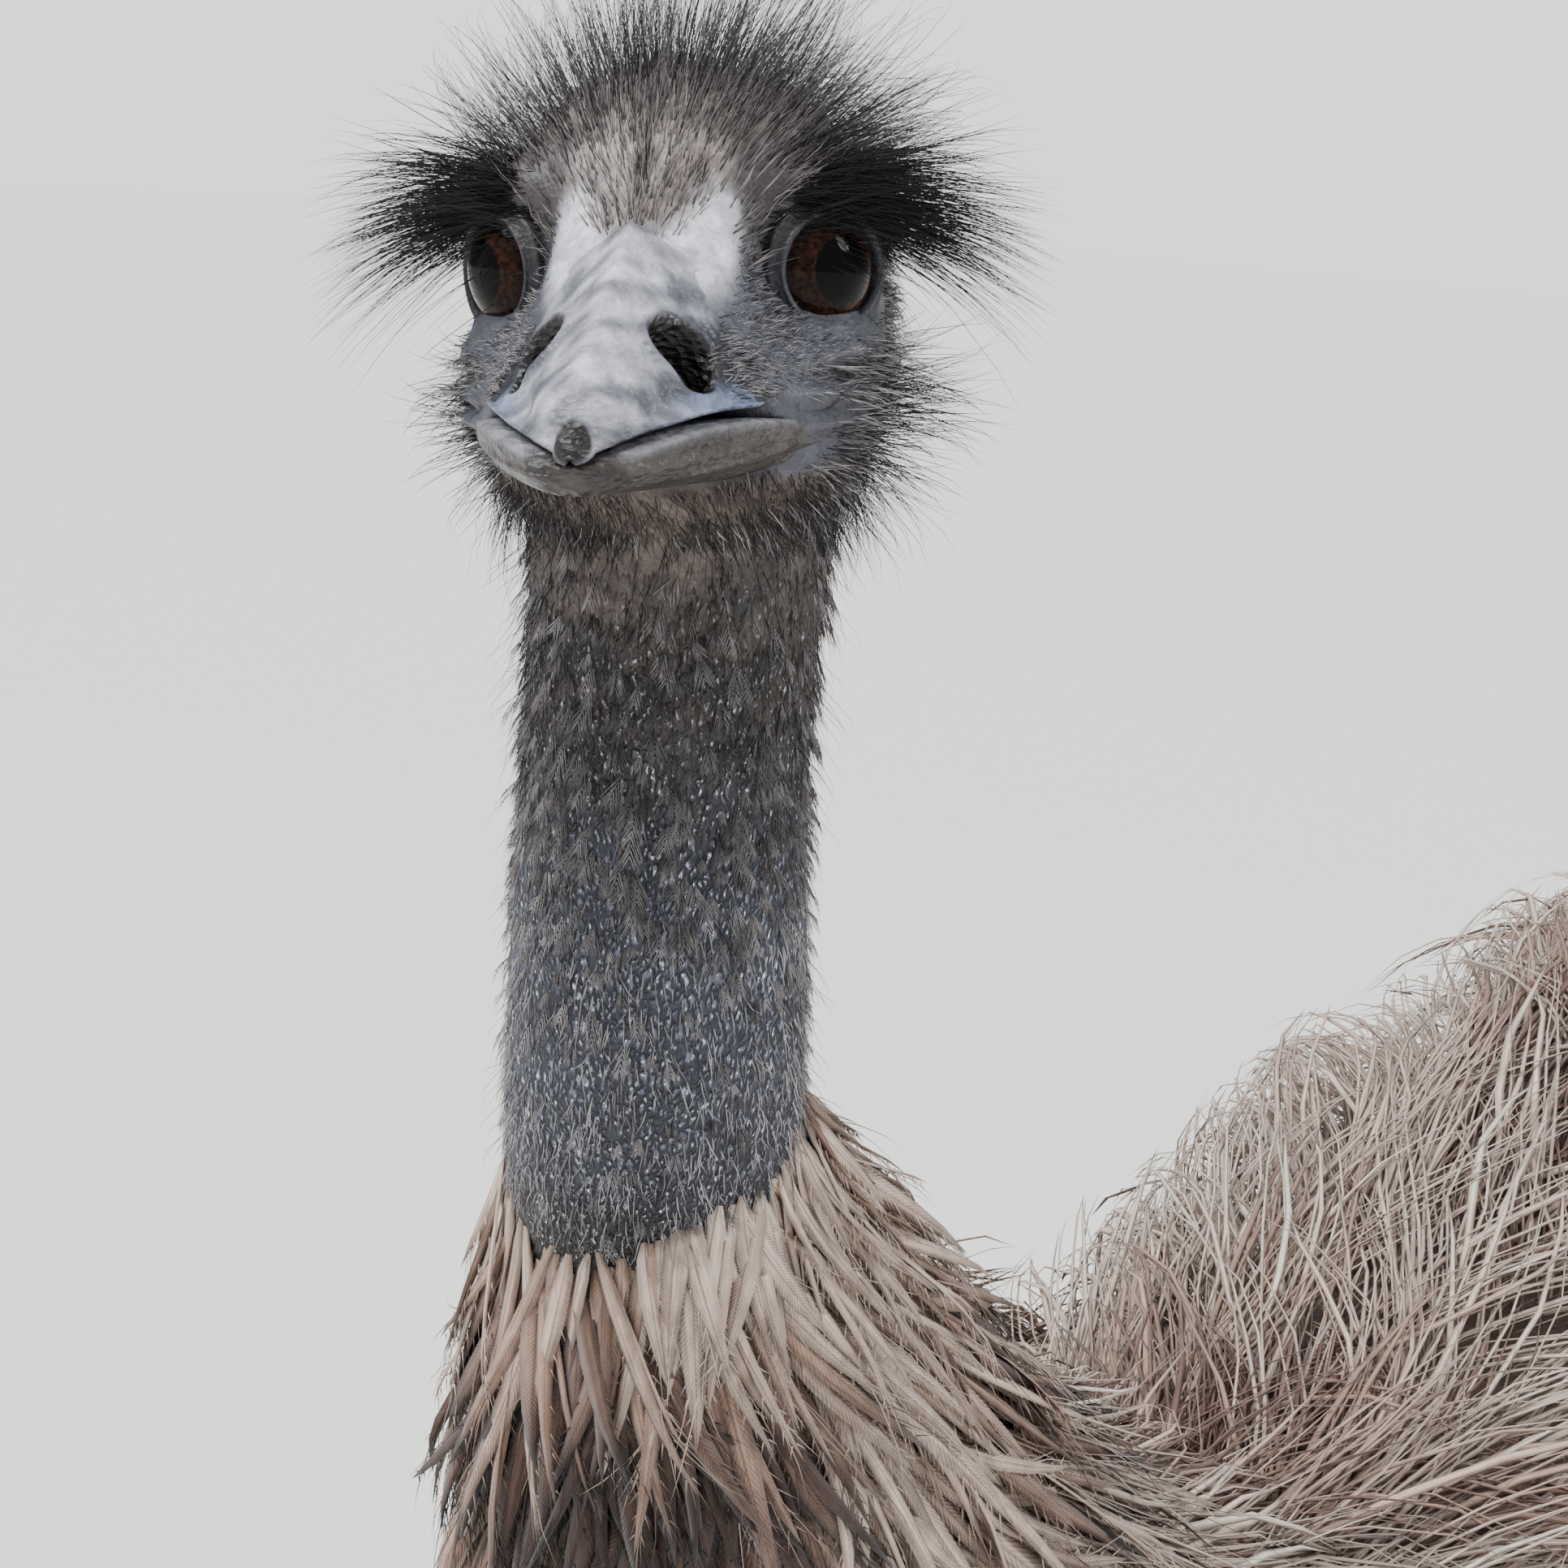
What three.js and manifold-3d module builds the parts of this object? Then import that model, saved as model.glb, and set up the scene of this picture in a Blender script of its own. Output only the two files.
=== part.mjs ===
// Adult emu, life size, standing still with its neck raised and its head turned to its left.
// Millimetres, +Z up, floor at z = 0. The bird faces -Y and its own left side is +X.

import * as THREE from "three";
import { mergeVertices } from "three/addons/utils/BufferGeometryUtils.js";
import Module from "manifold-3d";

const wasm = await Module();
wasm.setup();

// Driving sizes of the whole bird
const EYE_HEIGHT = 1248;
const BACK_HEIGHT = 1050;
const GAP = 0.3;
const WELD = 1e-4;
const FAR = 4000;

// Head: placed by the middle point between the eyes, and turned towards the bird's left
const EYE_MIDDLE = new THREE.Vector3(29, -524, EYE_HEIGHT);
const HEAD_YAW = 32;
const HEAD_PITCH = 2;
const HEAD_ROLL = 4.5;
const EYE_RADIUS = 15;
const EYE_CENTRE = { forward: -10.2, side: 22.8, up: 0 };
const EYE_OUTWARD = 47;
const LID_RING = { radius: 11, tube: 1.8, out: 10.4 };
const EYE_HOLLOW = { out: 27, lengths: [15, 13.5, 13] };
const NOSTRIL = { forward: 45, side: 13.2, up: -11.5, length: 6, height: 5, depth: 5, splay: 26 };
const EAR = { forward: -41, side: 35, up: -14, radius: 6, depth: 5, rim: 7.2, tube: 1.6, sink: 2 };
const BILL_START = 22;
const MOUTH = { slit: 0.5, reach: 60, places: [8, 16, 22, 30, 40, 50, 60, 70, 80] };

// Stations along the head: forward of the eyes, half width, heights of the top, widest line and bottom
const HEAD = [
  { at: -71, half: 7, top: 4, level: -8, bottom: -18, square: 2 },
  { at: -64, half: 22, top: 19, level: -9, bottom: -34, square: 2 },
  { at: -48, half: 33, top: 30, level: -10, bottom: -50, square: 2.1 },
  { at: -25, half: 37.5, top: 36, level: -13, bottom: -56, square: 2.1 },
  { at: -2, half: 37, top: 30, level: -18, bottom: -51, square: 1.9 },
  { at: 10, half: 32.5, top: 19.5, level: -22, bottom: -44, square: 1.5 },
  { at: 22, half: 27.5, top: 10.5, level: -22, bottom: -37.5, square: 1.35 },
  { at: 35, half: 24.3, top: 3.5, level: -20.8, bottom: -35, square: 1.3 },
  { at: 50, half: 19.5, top: -3.5, level: -19.8, bottom: -33, square: 1.3 },
  { at: 62, half: 14, top: -9.5, level: -20.3, bottom: -31.5, square: 1.4 },
  { at: 70, half: 8.5, top: -14.5, level: -22, bottom: -30, square: 1.8 },
  { at: 75, half: 3, top: -21, level: -24, bottom: -28.5, square: 2 },
];
const HEAD_PLACES = [-71, -67, -58, -42, -24, -8, 4, 13, 22, 32, 44, 55, 64, 71, 75];
const HEAD_LOWER_SQUARE = 2.3;
const MOUTH_LINE = [
  { at: -12, up: -24.5 },
  { at: 0, up: -22.8 },
  { at: 12, up: -22.8 },
  { at: 22, up: -22 },
  { at: 35, up: -20.6 },
  { at: 50, up: -19.8 },
  { at: 62, up: -20.4 },
  { at: 70, up: -22 },
  { at: 80, up: -26 },
];

// Tufts of long hair-like feathers on the head: forward, side and up of their roots and of their run
const HEAD_TUFT = { thick: 1.6, sink: 6 };
const BROW = {
  count: 4,
  root: [-2, 24, 18],
  step: [-8, 1.5, 1],
  run: [-0.25, 1, -0.05],
  fall: -0.1,
  length: 40,
  width: 13,
};
const CHEEK = {
  count: 4,
  root: [-10, 33, -30],
  step: [-9, 1, -4],
  run: [-0.3, 0.9, -0.1],
  fall: -0.22,
  length: 27,
  width: 15,
};
const CROWN = { rows: [4, -16, -40], across: [-44, 0, 44], lean: 0.64, length: 41, width: 27, lift: 6 };

// Neck: centre line from the skull down into the chest, half widths of the flesh and of the plumage
const NECK = [
  { at: 0, x: 17, y: -499, z: 1225, flesh: 28.5, coat: 29 },
  { at: 1, x: 11, y: -495, z: 1160, flesh: 26.5, coat: 28 },
  { at: 2, x: 2, y: -483, z: 1100, flesh: 29, coat: 30 },
  { at: 3, x: -8, y: -469, z: 1058, flesh: 30, coat: 35 },
  { at: 4, x: -15, y: -440, z: 1000, flesh: 34, coat: 62 },
  { at: 5, x: -20, y: -405, z: 935, flesh: 46, coat: 80 },
  { at: 6, x: -12, y: -350, z: 865, flesh: 68, coat: 108 },
  { at: 7, x: 0, y: -270, z: 815, flesh: 80, coat: 100 },
];
const NECK_PLACES = [0, 1, 2, 2.7, 3.2, 4, 5, 6, 7];
const NECK_DEPTH_RATIO = 1.12;
const HEAD_NECK_CUT = 0.42;
const RUFF_CUT = 2.72;
const CHEST_CUT = 5.75;

// Trunk: stations along the body, heights of the back, widest line and belly, half width with plumage
const TRUNK = [
  { at: -392, half: 40, top: -215, level: -270, bottom: -322 },
  { at: -365, half: 88, top: -184, level: -268, bottom: -376 },
  { at: -290, half: 132, top: -134, level: -264, bottom: -430 },
  { at: -190, half: 166, top: -88, level: -259, bottom: -459 },
  { at: -70, half: 192, top: -45, level: -257, bottom: -472 },
  { at: 60, half: 207, top: -12, level: -259, bottom: -480 },
  { at: 170, half: 208, top: 0, level: -264, bottom: -478 },
  { at: 280, half: 196, top: -18, level: -276, bottom: -466 },
  { at: 380, half: 168, top: -68, level: -296, bottom: -448 },
  { at: 460, half: 124, top: -146, level: -322, bottom: -430 },
  { at: 520, half: 66, top: -238, level: -348, bottom: -420 },
  { at: 540, half: 24, top: -305, level: -362, bottom: -405 },
];
const TRUNK_PLACES = [-368, -350, -300, -200, -80, 60, 190, 300, 390, 450, 490, 506];
const TRUNK_SQUARE = 2.15;
const RUMP_CUT = 330;
const BELLY_CUT = 575;

// Plumage: a core to half the coat's depth, and flat tapered locks whose tips reach the outline
const TRUNK_COAT = { inset: 30, thick: 4.5, width: 98, length: 200, rowStep: 92, first: -360, last: 320 };
const TRUNK_SLANT = { top: 26, flank: 30, swing: 9 };
const TRUNK_ANGLES = [11, 45, 79, 112];
const RUMP_COAT = { inset: 30, thick: 4.5, width: 66, length: 165, droop: 42, lift: 20 };
const RUMP_RUN = { back: 24, round: 0.06, down: 0.25 };
const RUMP_ROWS = [335, 410, 478];
const RUMP_ANGLES = [0, 40, 80, 120];
const RUFF_COAT = { share: 0.45, thick: 2.6, width: 46, turns: 1.35, sink: 7 };
const RUFF_ROWS = [2.84, 3.3, 3.8, 4.32, 4.86, 5.36];
const RUFF_AROUND = 6;
const THIGH_COAT = { share: 0.45, thick: 4, width: 70, turns: 1.1, sink: 9 };
const THIGH_ROWS = [0.7, 1.45, 2.2];
const THIGH_AROUND = 4;

// How the width and thickness of a lock change from its root to its tip
const LOCK_SHAPE = [
  { at: 0, width: 0.62, thick: 1, rise: 0 },
  { at: 0.5, width: 1, thick: 1, rise: 0.85 },
  { at: 1, width: 0.06, thick: 0.35, rise: 1 },
];
const LOCK_SINK = 14;
const SEED = 7;

// Wings: small arms against the flanks, each under a fan of vanes
const WING = { side: 172, y: -140, z: 868, length: 78, height: 34, thick: 18, tilt: -16 };
const WING_VANES = { count: 4, length: 150, width: 48, thick: 3, lift: 14, droop: 18, roll: 14 };
const WING_ROOTS = { proud: 6, y: -62, spanY: 70, z: 30, spanZ: -52 };

// Legs: centre line from the belly to the foot, with half widths
const STANCE_Y = 88;
const THIGH = [
  { at: 0, x: 92, y: -30, z: 640, flesh: 62, coat: 88 },
  { at: 1, x: 90, y: -4, z: 560, flesh: 56, coat: 80 },
  { at: 2, x: 87, y: 24, z: 490, flesh: 42, coat: 60 },
  { at: 3, x: 85, y: 46, z: 430, flesh: 29, coat: 38 },
  { at: 4, x: 84, y: 54, z: 402, flesh: 24, coat: 26 },
];
const THIGH_PLACES = [0, 1, 1.6, 2.3, 3, 3.5, 4];
const THIGH_DEPTH_RATIO = 1.12;
const THIGH_CUT = 3.55;
const SHANK = [
  { at: 0, x: 84, y: 54, z: 410, flesh: 23, coat: 24 },
  { at: 1, x: 84, y: 57, z: 385, flesh: 29, coat: 29 },
  { at: 2, x: 84, y: 53, z: 350, flesh: 22, coat: 22 },
  { at: 3, x: 85, y: 40, z: 270, flesh: 16.5, coat: 16.5 },
  { at: 4, x: 86, y: 24, z: 150, flesh: 16, coat: 16 },
  { at: 5, x: 87, y: 12, z: 70, flesh: 20, coat: 20 },
  { at: 6, x: 87, y: 5, z: 30, flesh: 26, coat: 26 },
];
const SHANK_DEPTH_RATIO = 1.1;
const SCUTE_STEP = 0.93;
const SHANK_SCUTES = { count: 11, from: 1.4, to: 5.3, proud: 1.6 };
const SHANK_TOP = [0, 0.7, 1.1].map((at) => ({ at, lift: 0 }));
const SHANK_FOOT = [5.4, 6].map((at) => ({ at, lift: 0 }));
const TOE_SCUTES = { from: 0.04, to: 0.94, proud: 1.4 };
const FOOT_CUT = 52;
const PAD = { x: 87, y: 2, radius: 30, height: 26, z: 22 };
const TOES = [
  { name: "inner", yaw: -33, length: 84, half: 12, height: 22, start: 52, scutes: 2 },
  { name: "middle", yaw: 2, length: 128, half: 15.5, height: 27, start: 52, scutes: 4 },
  { name: "outer", yaw: 38, length: 88, half: 12.5, height: 22, start: 52, scutes: 2 },
];
const TOE = { taper: 0.3, joints: 0.07, waves: 3, fall: 0.15, square: 2.4, rise: 0.42 };
const CLAW = { length: 26, half: 7, height: 13, rise: 0.36, droop: 5, sunk: 5, tip: 0.06, around: 6 };

// Facets
const HEAD_AROUND = 18;
const NECK_AROUND = 12;
const TRUNK_AROUND = 18;
const LEG_AROUND = 9;
const TOE_AROUND = 8;

const rad = THREE.MathUtils.degToRad;
const vec = (x, y, z) => new THREE.Vector3(x, y, z);

// Reads one value of a table of stations at any place, on a smooth curve through them
function along(table, key, at) {
  const last = table.length - 1;
  let i = 0;
  while (i < last - 1 && at > table[i + 1].at) i += 1;
  const slope = (k) => {
    const lo = table[Math.max(k - 1, 0)];
    const hi = table[Math.min(k + 1, last)];
    return (hi[key] - lo[key]) / (hi.at - lo.at);
  };
  const span = table[i + 1].at - table[i].at;
  const t = THREE.MathUtils.clamp((at - table[i].at) / span, 0, 1);
  const a = table[i][key];
  const b = table[i + 1][key];
  const t2 = t * t;
  const t3 = t2 * t;
  const ends = a * (2 * t3 - 3 * t2 + 1) + b * (3 * t2 - 2 * t3);
  return ends + span * (slope(i) * (t3 - 2 * t2 + t) + slope(i + 1) * (t3 - t2));
}

// Evenly spaced values, both ends included
function steps(from, to, count) {
  return Array.from({ length: count + 1 }, (_, i) => from + ((to - from) * i) / count);
}

// A point of an oval section: angle 0 is the top, and the oval is squarer as the power grows
function oval(angle, half, up, down, power = 2) {
  const s = Math.sin(angle);
  const c = Math.cos(angle);
  const side = Math.sign(s) * Math.abs(s) ** (2 / power) * half;
  const rise = Math.sign(c) * Math.abs(c) ** (2 / power) * (c > 0 ? up : down);
  return [side, rise];
}

// Joins rings of points into one closed solid with a fan over each end
function loft(rings) {
  const around = rings[0].length;
  const points = rings.flat();
  const faces = [];
  for (let r = 0; r < rings.length - 1; r += 1) {
    for (let k = 0; k < around; k += 1) {
      const a = r * around + k;
      const b = r * around + ((k + 1) % around);
      faces.push(a, b, b + around, a, b + around, a + around);
    }
  }
  const close = (start, flip) => {
    const middle = new THREE.Vector3();
    for (let k = 0; k < around; k += 1) middle.addScaledVector(points[start + k], 1 / around);
    points.push(middle);
    const centre = points.length - 1;
    for (let k = 0; k < around; k += 1) {
      const a = start + k;
      const b = start + ((k + 1) % around);
      faces.push(...(flip ? [b, a, centre] : [a, b, centre]));
    }
  };
  close(0, true);
  close((rings.length - 1) * around, false);
  return solid(points, faces);
}

// A repeatable random number from 0 to 1
let seedState = SEED;
function random() {
  seedState = (seedState + 0x6d2b79f5) | 0;
  let mixed = Math.imul(seedState ^ (seedState >>> 15), 1 | seedState);
  mixed = (mixed + Math.imul(mixed ^ (mixed >>> 7), 61 | mixed)) ^ mixed;
  return ((mixed ^ (mixed >>> 14)) >>> 0) / 4294967296;
}

const vary = (size, share) => size * (1 + share * (2 * random() - 1));
const swing = (range) => range * (2 * random() - 1);

// A flat strip through rows of four corners, split into the same triangles on both faces
function strip(rows) {
  const points = rows.flatMap(({ centre, side, out }) => [
    centre.clone().sub(side).add(out),
    centre.clone().add(side).add(out),
    centre.clone().sub(side).sub(out),
    centre.clone().add(side).sub(out),
  ]);
  const faces = [];
  for (let r = 0; r < rows.length - 1; r += 1) {
    const a = r * 4;
    const b = a + 4;
    faces.push(a, a + 1, b + 1, a, b + 1, b);
    faces.push(a + 2, b + 3, a + 3, a + 2, b + 2, b + 3);
    faces.push(a + 1, a + 3, b + 3, a + 1, b + 3, b + 1);
    faces.push(a, b + 2, a + 2, a, b, b + 2);
  }
  const end = (rows.length - 1) * 4;
  faces.push(0, 2, 3, 0, 3, 1);
  faces.push(end, end + 3, end + 2, end, end + 1, end + 3);
  return solid(points, faces);
}

// A flat tapered lock along places on a surface, each with its outward direction, rolled about its own line
function lock(places, width, thick, roll) {
  const last = places.length - 1;
  const rows = places.map(({ point, out }, i) => {
    const next = places[Math.min(i + 1, last)].point;
    const before = places[Math.max(i - 1, 0)].point;
    const ahead = next.clone().sub(before).normalize();
    const side = out.clone().cross(ahead).normalize().applyAxisAngle(ahead, roll);
    const shape = LOCK_SHAPE[i];
    return {
      centre: point,
      side: side.clone().multiplyScalar((width * shape.width) / 2),
      out: ahead.clone().cross(side).multiplyScalar((thick * shape.thick) / 2),
    };
  });
  return strip(rows);
}

// A lock that leaves its root, lifts off and droops under its own weight
function looseLock({ root, ahead, out, length, width, thick, lift, droop, roll = 0, sink = LOCK_SINK }) {
  const places = LOCK_SHAPE.map(({ at, rise }) => ({
    out,
    point: root
      .clone()
      .addScaledVector(ahead, length * at)
      .addScaledVector(out, lift * rise - sink * (1 - at) ** 3)
      .add(vec(0, 0, -droop * at * at)),
  }));
  return lock(places, width, thick, roll);
}

// Turns points and faces into a solid, with its faces outwards
function solid(points, faces) {
  let volume = 0;
  for (let i = 0; i < faces.length; i += 3) {
    const [a, b, c] = [points[faces[i]], points[faces[i + 1]], points[faces[i + 2]]];
    volume += a.dot(b.clone().cross(c));
  }
  const index = volume > 0 ? faces : faces.slice().reverse();
  const geometry = new THREE.BufferGeometry().setFromPoints(points);
  geometry.setIndex(index);
  return toManifold(geometry);
}

function toManifold(source) {
  const geometry = source.clone();
  geometry.deleteAttribute("normal");
  geometry.deleteAttribute("uv");
  const merged = mergeVertices(geometry, WELD);
  const vertProperties = new Float32Array(merged.attributes.position.array);
  const triVerts = new Uint32Array(merged.index.array);
  return new wasm.Manifold(new wasm.Mesh({ numProp: 3, vertProperties, triVerts }));
}

function toGeometry(manifold) {
  const mesh = manifold.getMesh();
  const geometry = new THREE.BufferGeometry();
  geometry.setAttribute("position", new THREE.BufferAttribute(new Float32Array(mesh.vertProperties), 3));
  geometry.setIndex(new THREE.BufferAttribute(new Uint32Array(mesh.triVerts), 1));
  geometry.computeVertexNormals();
  return geometry;
}

// Keeps the largest closed surface of a solid
function largest(manifold) {
  const parts = manifold.decompose();
  return parts.reduce((best, part) => (part.volume() > best.volume() ? part : best));
}

const join = (solids) => solids.reduce((sum, part) => sum.add(part));

// A large block whose one face lies on a plane and whose body fills the side that its normal points to
function halfSpace(point, normal) {
  const block = new THREE.BoxGeometry(FAR, FAR, FAR);
  block.translate(0, 0, FAR / 2);
  const turn = new THREE.Quaternion().setFromUnitVectors(vec(0, 0, 1), normal.clone().normalize());
  block.applyQuaternion(turn);
  block.translate(point.x, point.y, point.z);
  return toManifold(block);
}

// Cuts away what lies past a plane, and half the gap before it
function cutPast(manifold, point, normal) {
  const back = normal.clone().normalize().multiplyScalar(-GAP / 2);
  return manifold.subtract(halfSpace(point.clone().add(back), normal));
}

// The head's own frame: forward along the bill, side to the bird's left, and up
function headMatrix() {
  const frame = new THREE.Matrix4().makeBasis(vec(0, -1, 0), vec(1, 0, 0), vec(0, 0, 1));
  const yaw = new THREE.Matrix4().makeRotationZ(rad(HEAD_YAW));
  const pitch = new THREE.Matrix4().makeRotationY(rad(HEAD_PITCH));
  const roll = new THREE.Matrix4().makeRotationX(rad(HEAD_ROLL));
  const place = new THREE.Matrix4().makeTranslation(EYE_MIDDLE.x, EYE_MIDDLE.y, EYE_MIDDLE.z);
  return place.multiply(yaw).multiply(frame).multiply(pitch).multiply(roll);
}

const HEAD_MATRIX = headMatrix();
const inHead = (forward, side, up) => vec(forward, side, up).applyMatrix4(HEAD_MATRIX);
const headDirection = (forward, side, up) => vec(forward, side, up).transformDirection(HEAD_MATRIX);

function headSurface(at, angle) {
  const level = along(HEAD, "level", at);
  const up = along(HEAD, "top", at) - level;
  const down = level - along(HEAD, "bottom", at);
  const power = Math.cos(angle) > 0 ? along(HEAD, "square", at) : HEAD_LOWER_SQUARE;
  const [side, rise] = oval(angle, along(HEAD, "half", at), up, down, power);
  return inHead(at, side, level + rise);
}

const turn = (count) => steps(0, 2 * Math.PI, count).slice(0, -1);

function headFlesh() {
  return loft(HEAD_PLACES.map((at) => turn(HEAD_AROUND).map((angle) => headSurface(at, angle))));
}

function eyeFrame(sign) {
  const centre = inHead(EYE_CENTRE.forward, sign * EYE_CENTRE.side, EYE_CENTRE.up);
  const outward = headDirection(Math.cos(rad(EYE_OUTWARD)), sign * Math.sin(rad(EYE_OUTWARD)), 0);
  return { centre, outward };
}

function placed(geometry, centre, outward) {
  geometry.applyQuaternion(new THREE.Quaternion().setFromUnitVectors(vec(0, 0, 1), outward));
  geometry.translate(centre.x, centre.y, centre.z);
  return toManifold(geometry);
}

function ball(radius, sign) {
  const { centre, outward } = eyeFrame(sign);
  const sphere = new THREE.SphereGeometry(radius, 12, 7);
  sphere.rotateX(Math.PI / 2);
  return placed(sphere, centre, outward);
}

function lidRing(sign) {
  const { centre, outward } = eyeFrame(sign);
  const ring = new THREE.TorusGeometry(LID_RING.radius, LID_RING.tube, 4, 12);
  return placed(ring, centre.clone().addScaledVector(outward, LID_RING.out), outward);
}

// The hollow of the face in front of an eye, which opens the way for its ball
function eyeHollow(sign) {
  const { centre, outward } = eyeFrame(sign);
  const egg = new THREE.SphereGeometry(1, 12, 7);
  egg.scale(...EYE_HOLLOW.lengths);
  return placed(egg, centre.clone().addScaledVector(outward, EYE_HOLLOW.out), outward);
}

// An egg-shaped block in the head's frame, used for pits
function headEgg(forward, side, up, lengths, yaw) {
  const egg = new THREE.SphereGeometry(1, 9, 6);
  egg.scale(...lengths);
  egg.rotateZ(rad(yaw));
  egg.translate(forward, side, up);
  egg.applyMatrix4(HEAD_MATRIX);
  return toManifold(egg);
}

const nostril = (sign) => {
  const lengths = [NOSTRIL.length, NOSTRIL.depth, NOSTRIL.height];
  return headEgg(NOSTRIL.forward, sign * NOSTRIL.side, NOSTRIL.up, lengths, -sign * NOSTRIL.splay);
};

const earCup = (sign) => {
  const lengths = [EAR.radius, EAR.depth, EAR.radius * 1.15];
  return headEgg(EAR.forward, sign * EAR.side, EAR.up, lengths, 0);
};

function earRim(sign) {
  const ring = new THREE.TorusGeometry(EAR.rim, EAR.tube, 4, 9);
  const centre = inHead(EAR.forward, sign * (EAR.side - EAR.sink), EAR.up);
  return placed(ring, centre, headDirection(-0.2, sign, 0));
}

// The slit of the mouth: a thin curved sheet from the corners to the tip
function mouthSlit() {
  const rings = MOUTH.places.map((at) => {
    const up = along(MOUTH_LINE, "up", at);
    const corners = [[-1, -1], [1, -1], [1, 1], [-1, 1]];
    return corners.map(([side, rise]) => inHead(at, side * MOUTH.reach, up + (rise * MOUTH.slit) / 2));
  });
  return loft(rings);
}

// Tufts in a row on one side of the head, each a little behind and lower than the last
function tuftRow({ count, root, step, run, fall, length, width }, sign) {
  return steps(0, count - 1, count - 1).map((i) => {
    const place = root.map((value, k) => value + step[k] * i);
    const ahead = headDirection(run[0], sign * run[1], run[2] + fall * i);
    const out = headDirection(0.35, sign * 0.3, 0.9);
    const from = inHead(place[0], sign * place[1], place[2]);
    const tuft = { ...HEAD_TUFT, root: from, ahead, out, lift: 2, droop: 2 };
    return looseLock({ ...tuft, length: vary(length, 0.1), width, roll: rad(swing(8)) });
  });
}

// Tufts that rise and lean back over the crown
function crownTufts() {
  const { rows, across, lean, length, width, lift } = CROWN;
  return rows.flatMap((at) =>
    across.map((degrees) => {
      const root = headSurface(at, rad(degrees));
      const out = root.clone().sub(inHead(at, 0, along(HEAD, "level", at))).normalize();
      const back = headDirection(-1, 0, 0).multiplyScalar(lean);
      const ahead = back.addScaledVector(out, 1 - lean).normalize();
      const tuft = { ...HEAD_TUFT, root, ahead, out, lift, droop: 0 };
      return looseLock({ ...tuft, length: vary(length, 0.1), width, roll: rad(swing(6)) });
    }),
  );
}

function headTufts() {
  return [1, -1].flatMap((sign) => [...tuftRow(BROW, sign), ...tuftRow(CHEEK, sign)]).concat(crownTufts());
}

function headPieces() {
  const flesh = headFlesh();
  const front = headDirection(1, 0, 0);
  const billPlane = inHead(BILL_START, 0, 0);
  const slit = mouthSlit();
  const bill = cutPast(flesh, billPlane, front.clone().negate());
  const halves = bill.subtract(slit).decompose();
  const up = headDirection(0, 0, 1);
  const height = (part) => {
    const box = part.boundingBox();
    const middle = vec(...box.min).add(vec(...box.max)).multiplyScalar(0.5);
    return middle.dot(up);
  };
  halves.sort((a, b) => b.volume() - a.volume());
  const [upper, lower] = halves.slice(0, 2).sort((a, b) => height(b) - height(a));
  const hollowed = cutPast(flesh, billPlane, front).subtract(eyeHollow(1)).subtract(eyeHollow(-1));
  let head = join([hollowed, lidRing(1), lidRing(-1), earRim(1), earRim(-1), ...headTufts()]);
  head = cutPast(head, billPlane, front);
  head = head.subtract(slit).subtract(ball(EYE_RADIUS + GAP, 1)).subtract(ball(EYE_RADIUS + GAP, -1));
  head = head.subtract(earCup(1)).subtract(earCup(-1));
  return { head, upper: upper.subtract(nostril(1)).subtract(nostril(-1)), lower };
}

// A limb or neck: oval sections square to a curved centre line
function tube(table, depthRatio, sign = 1) {
  const centre = (at) => vec(sign * along(table, "x", at), along(table, "y", at), along(table, "z", at));
  const frame = (at) => {
    const ahead = centre(at + 0.02).sub(centre(at - 0.02)).normalize();
    const side = vec(1, 0, 0).addScaledVector(ahead, -ahead.x).normalize();
    const back = ahead.clone().cross(side).negate();
    return { ahead, side, back };
  };
  const surface = (at, angle, key) => {
    const { side, back } = frame(at);
    const half = along(table, key, at);
    const [across, deep] = oval(angle, half, half * depthRatio, half * depthRatio);
    return centre(at).addScaledVector(side, across).addScaledVector(back, deep);
  };
  return { centre, frame, surface };
}

function tubeSolid(part, places, around, key) {
  return loft(places.map((at) => turn(around).map((angle) => part.surface(at, angle, key))));
}

// Half width of the core under a coat of locks
function withCore(table, share) {
  return table.map((row) => ({ ...row, core: row.flesh + share * (row.coat - row.flesh) }));
}

// Locks in rows round a tube, which leave its core and reach the outline of its coat
function tubeLocks(part, table, coat, rows, around) {
  const locks = [];
  const widest = Math.max(...rows.map((row) => along(table, "coat", row)));
  rows.forEach((row, r) => {
    for (let k = 0; k < around; k += 1) {
      const at = row + swing(0.13);
      const angle = ((k + (r % 2) * 0.5 + swing(0.16)) * 2 * Math.PI) / around;
      const twist = swing(0.12);
      const turns = vary(coat.turns, 0.15);
      const places = LOCK_SHAPE.map((shape) => {
        const here = Math.min(at + turns * shape.at, table.length - 1.05);
        const inner = part.surface(here, angle + twist * shape.at, "core");
        const outer = part.surface(here, angle + twist * shape.at, "coat");
        const out = outer.clone().sub(part.centre(here)).normalize();
        const point = inner.lerp(outer, shape.rise).addScaledVector(out, -coat.sink * (1 - shape.at) ** 3);
        return { point, out };
      });
      const girth = along(table, "coat", at + 0.4) / widest;
      const width = vary(coat.width, 0.15) * Math.sqrt(girth);
      locks.push(lock(places, width, coat.thick, rad(10 + swing(8))));
    }
  });
  return locks;
}

const NECK_CORE = withCore(NECK, RUFF_COAT.share);
const neck = tube(NECK_CORE, NECK_DEPTH_RATIO);

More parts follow.
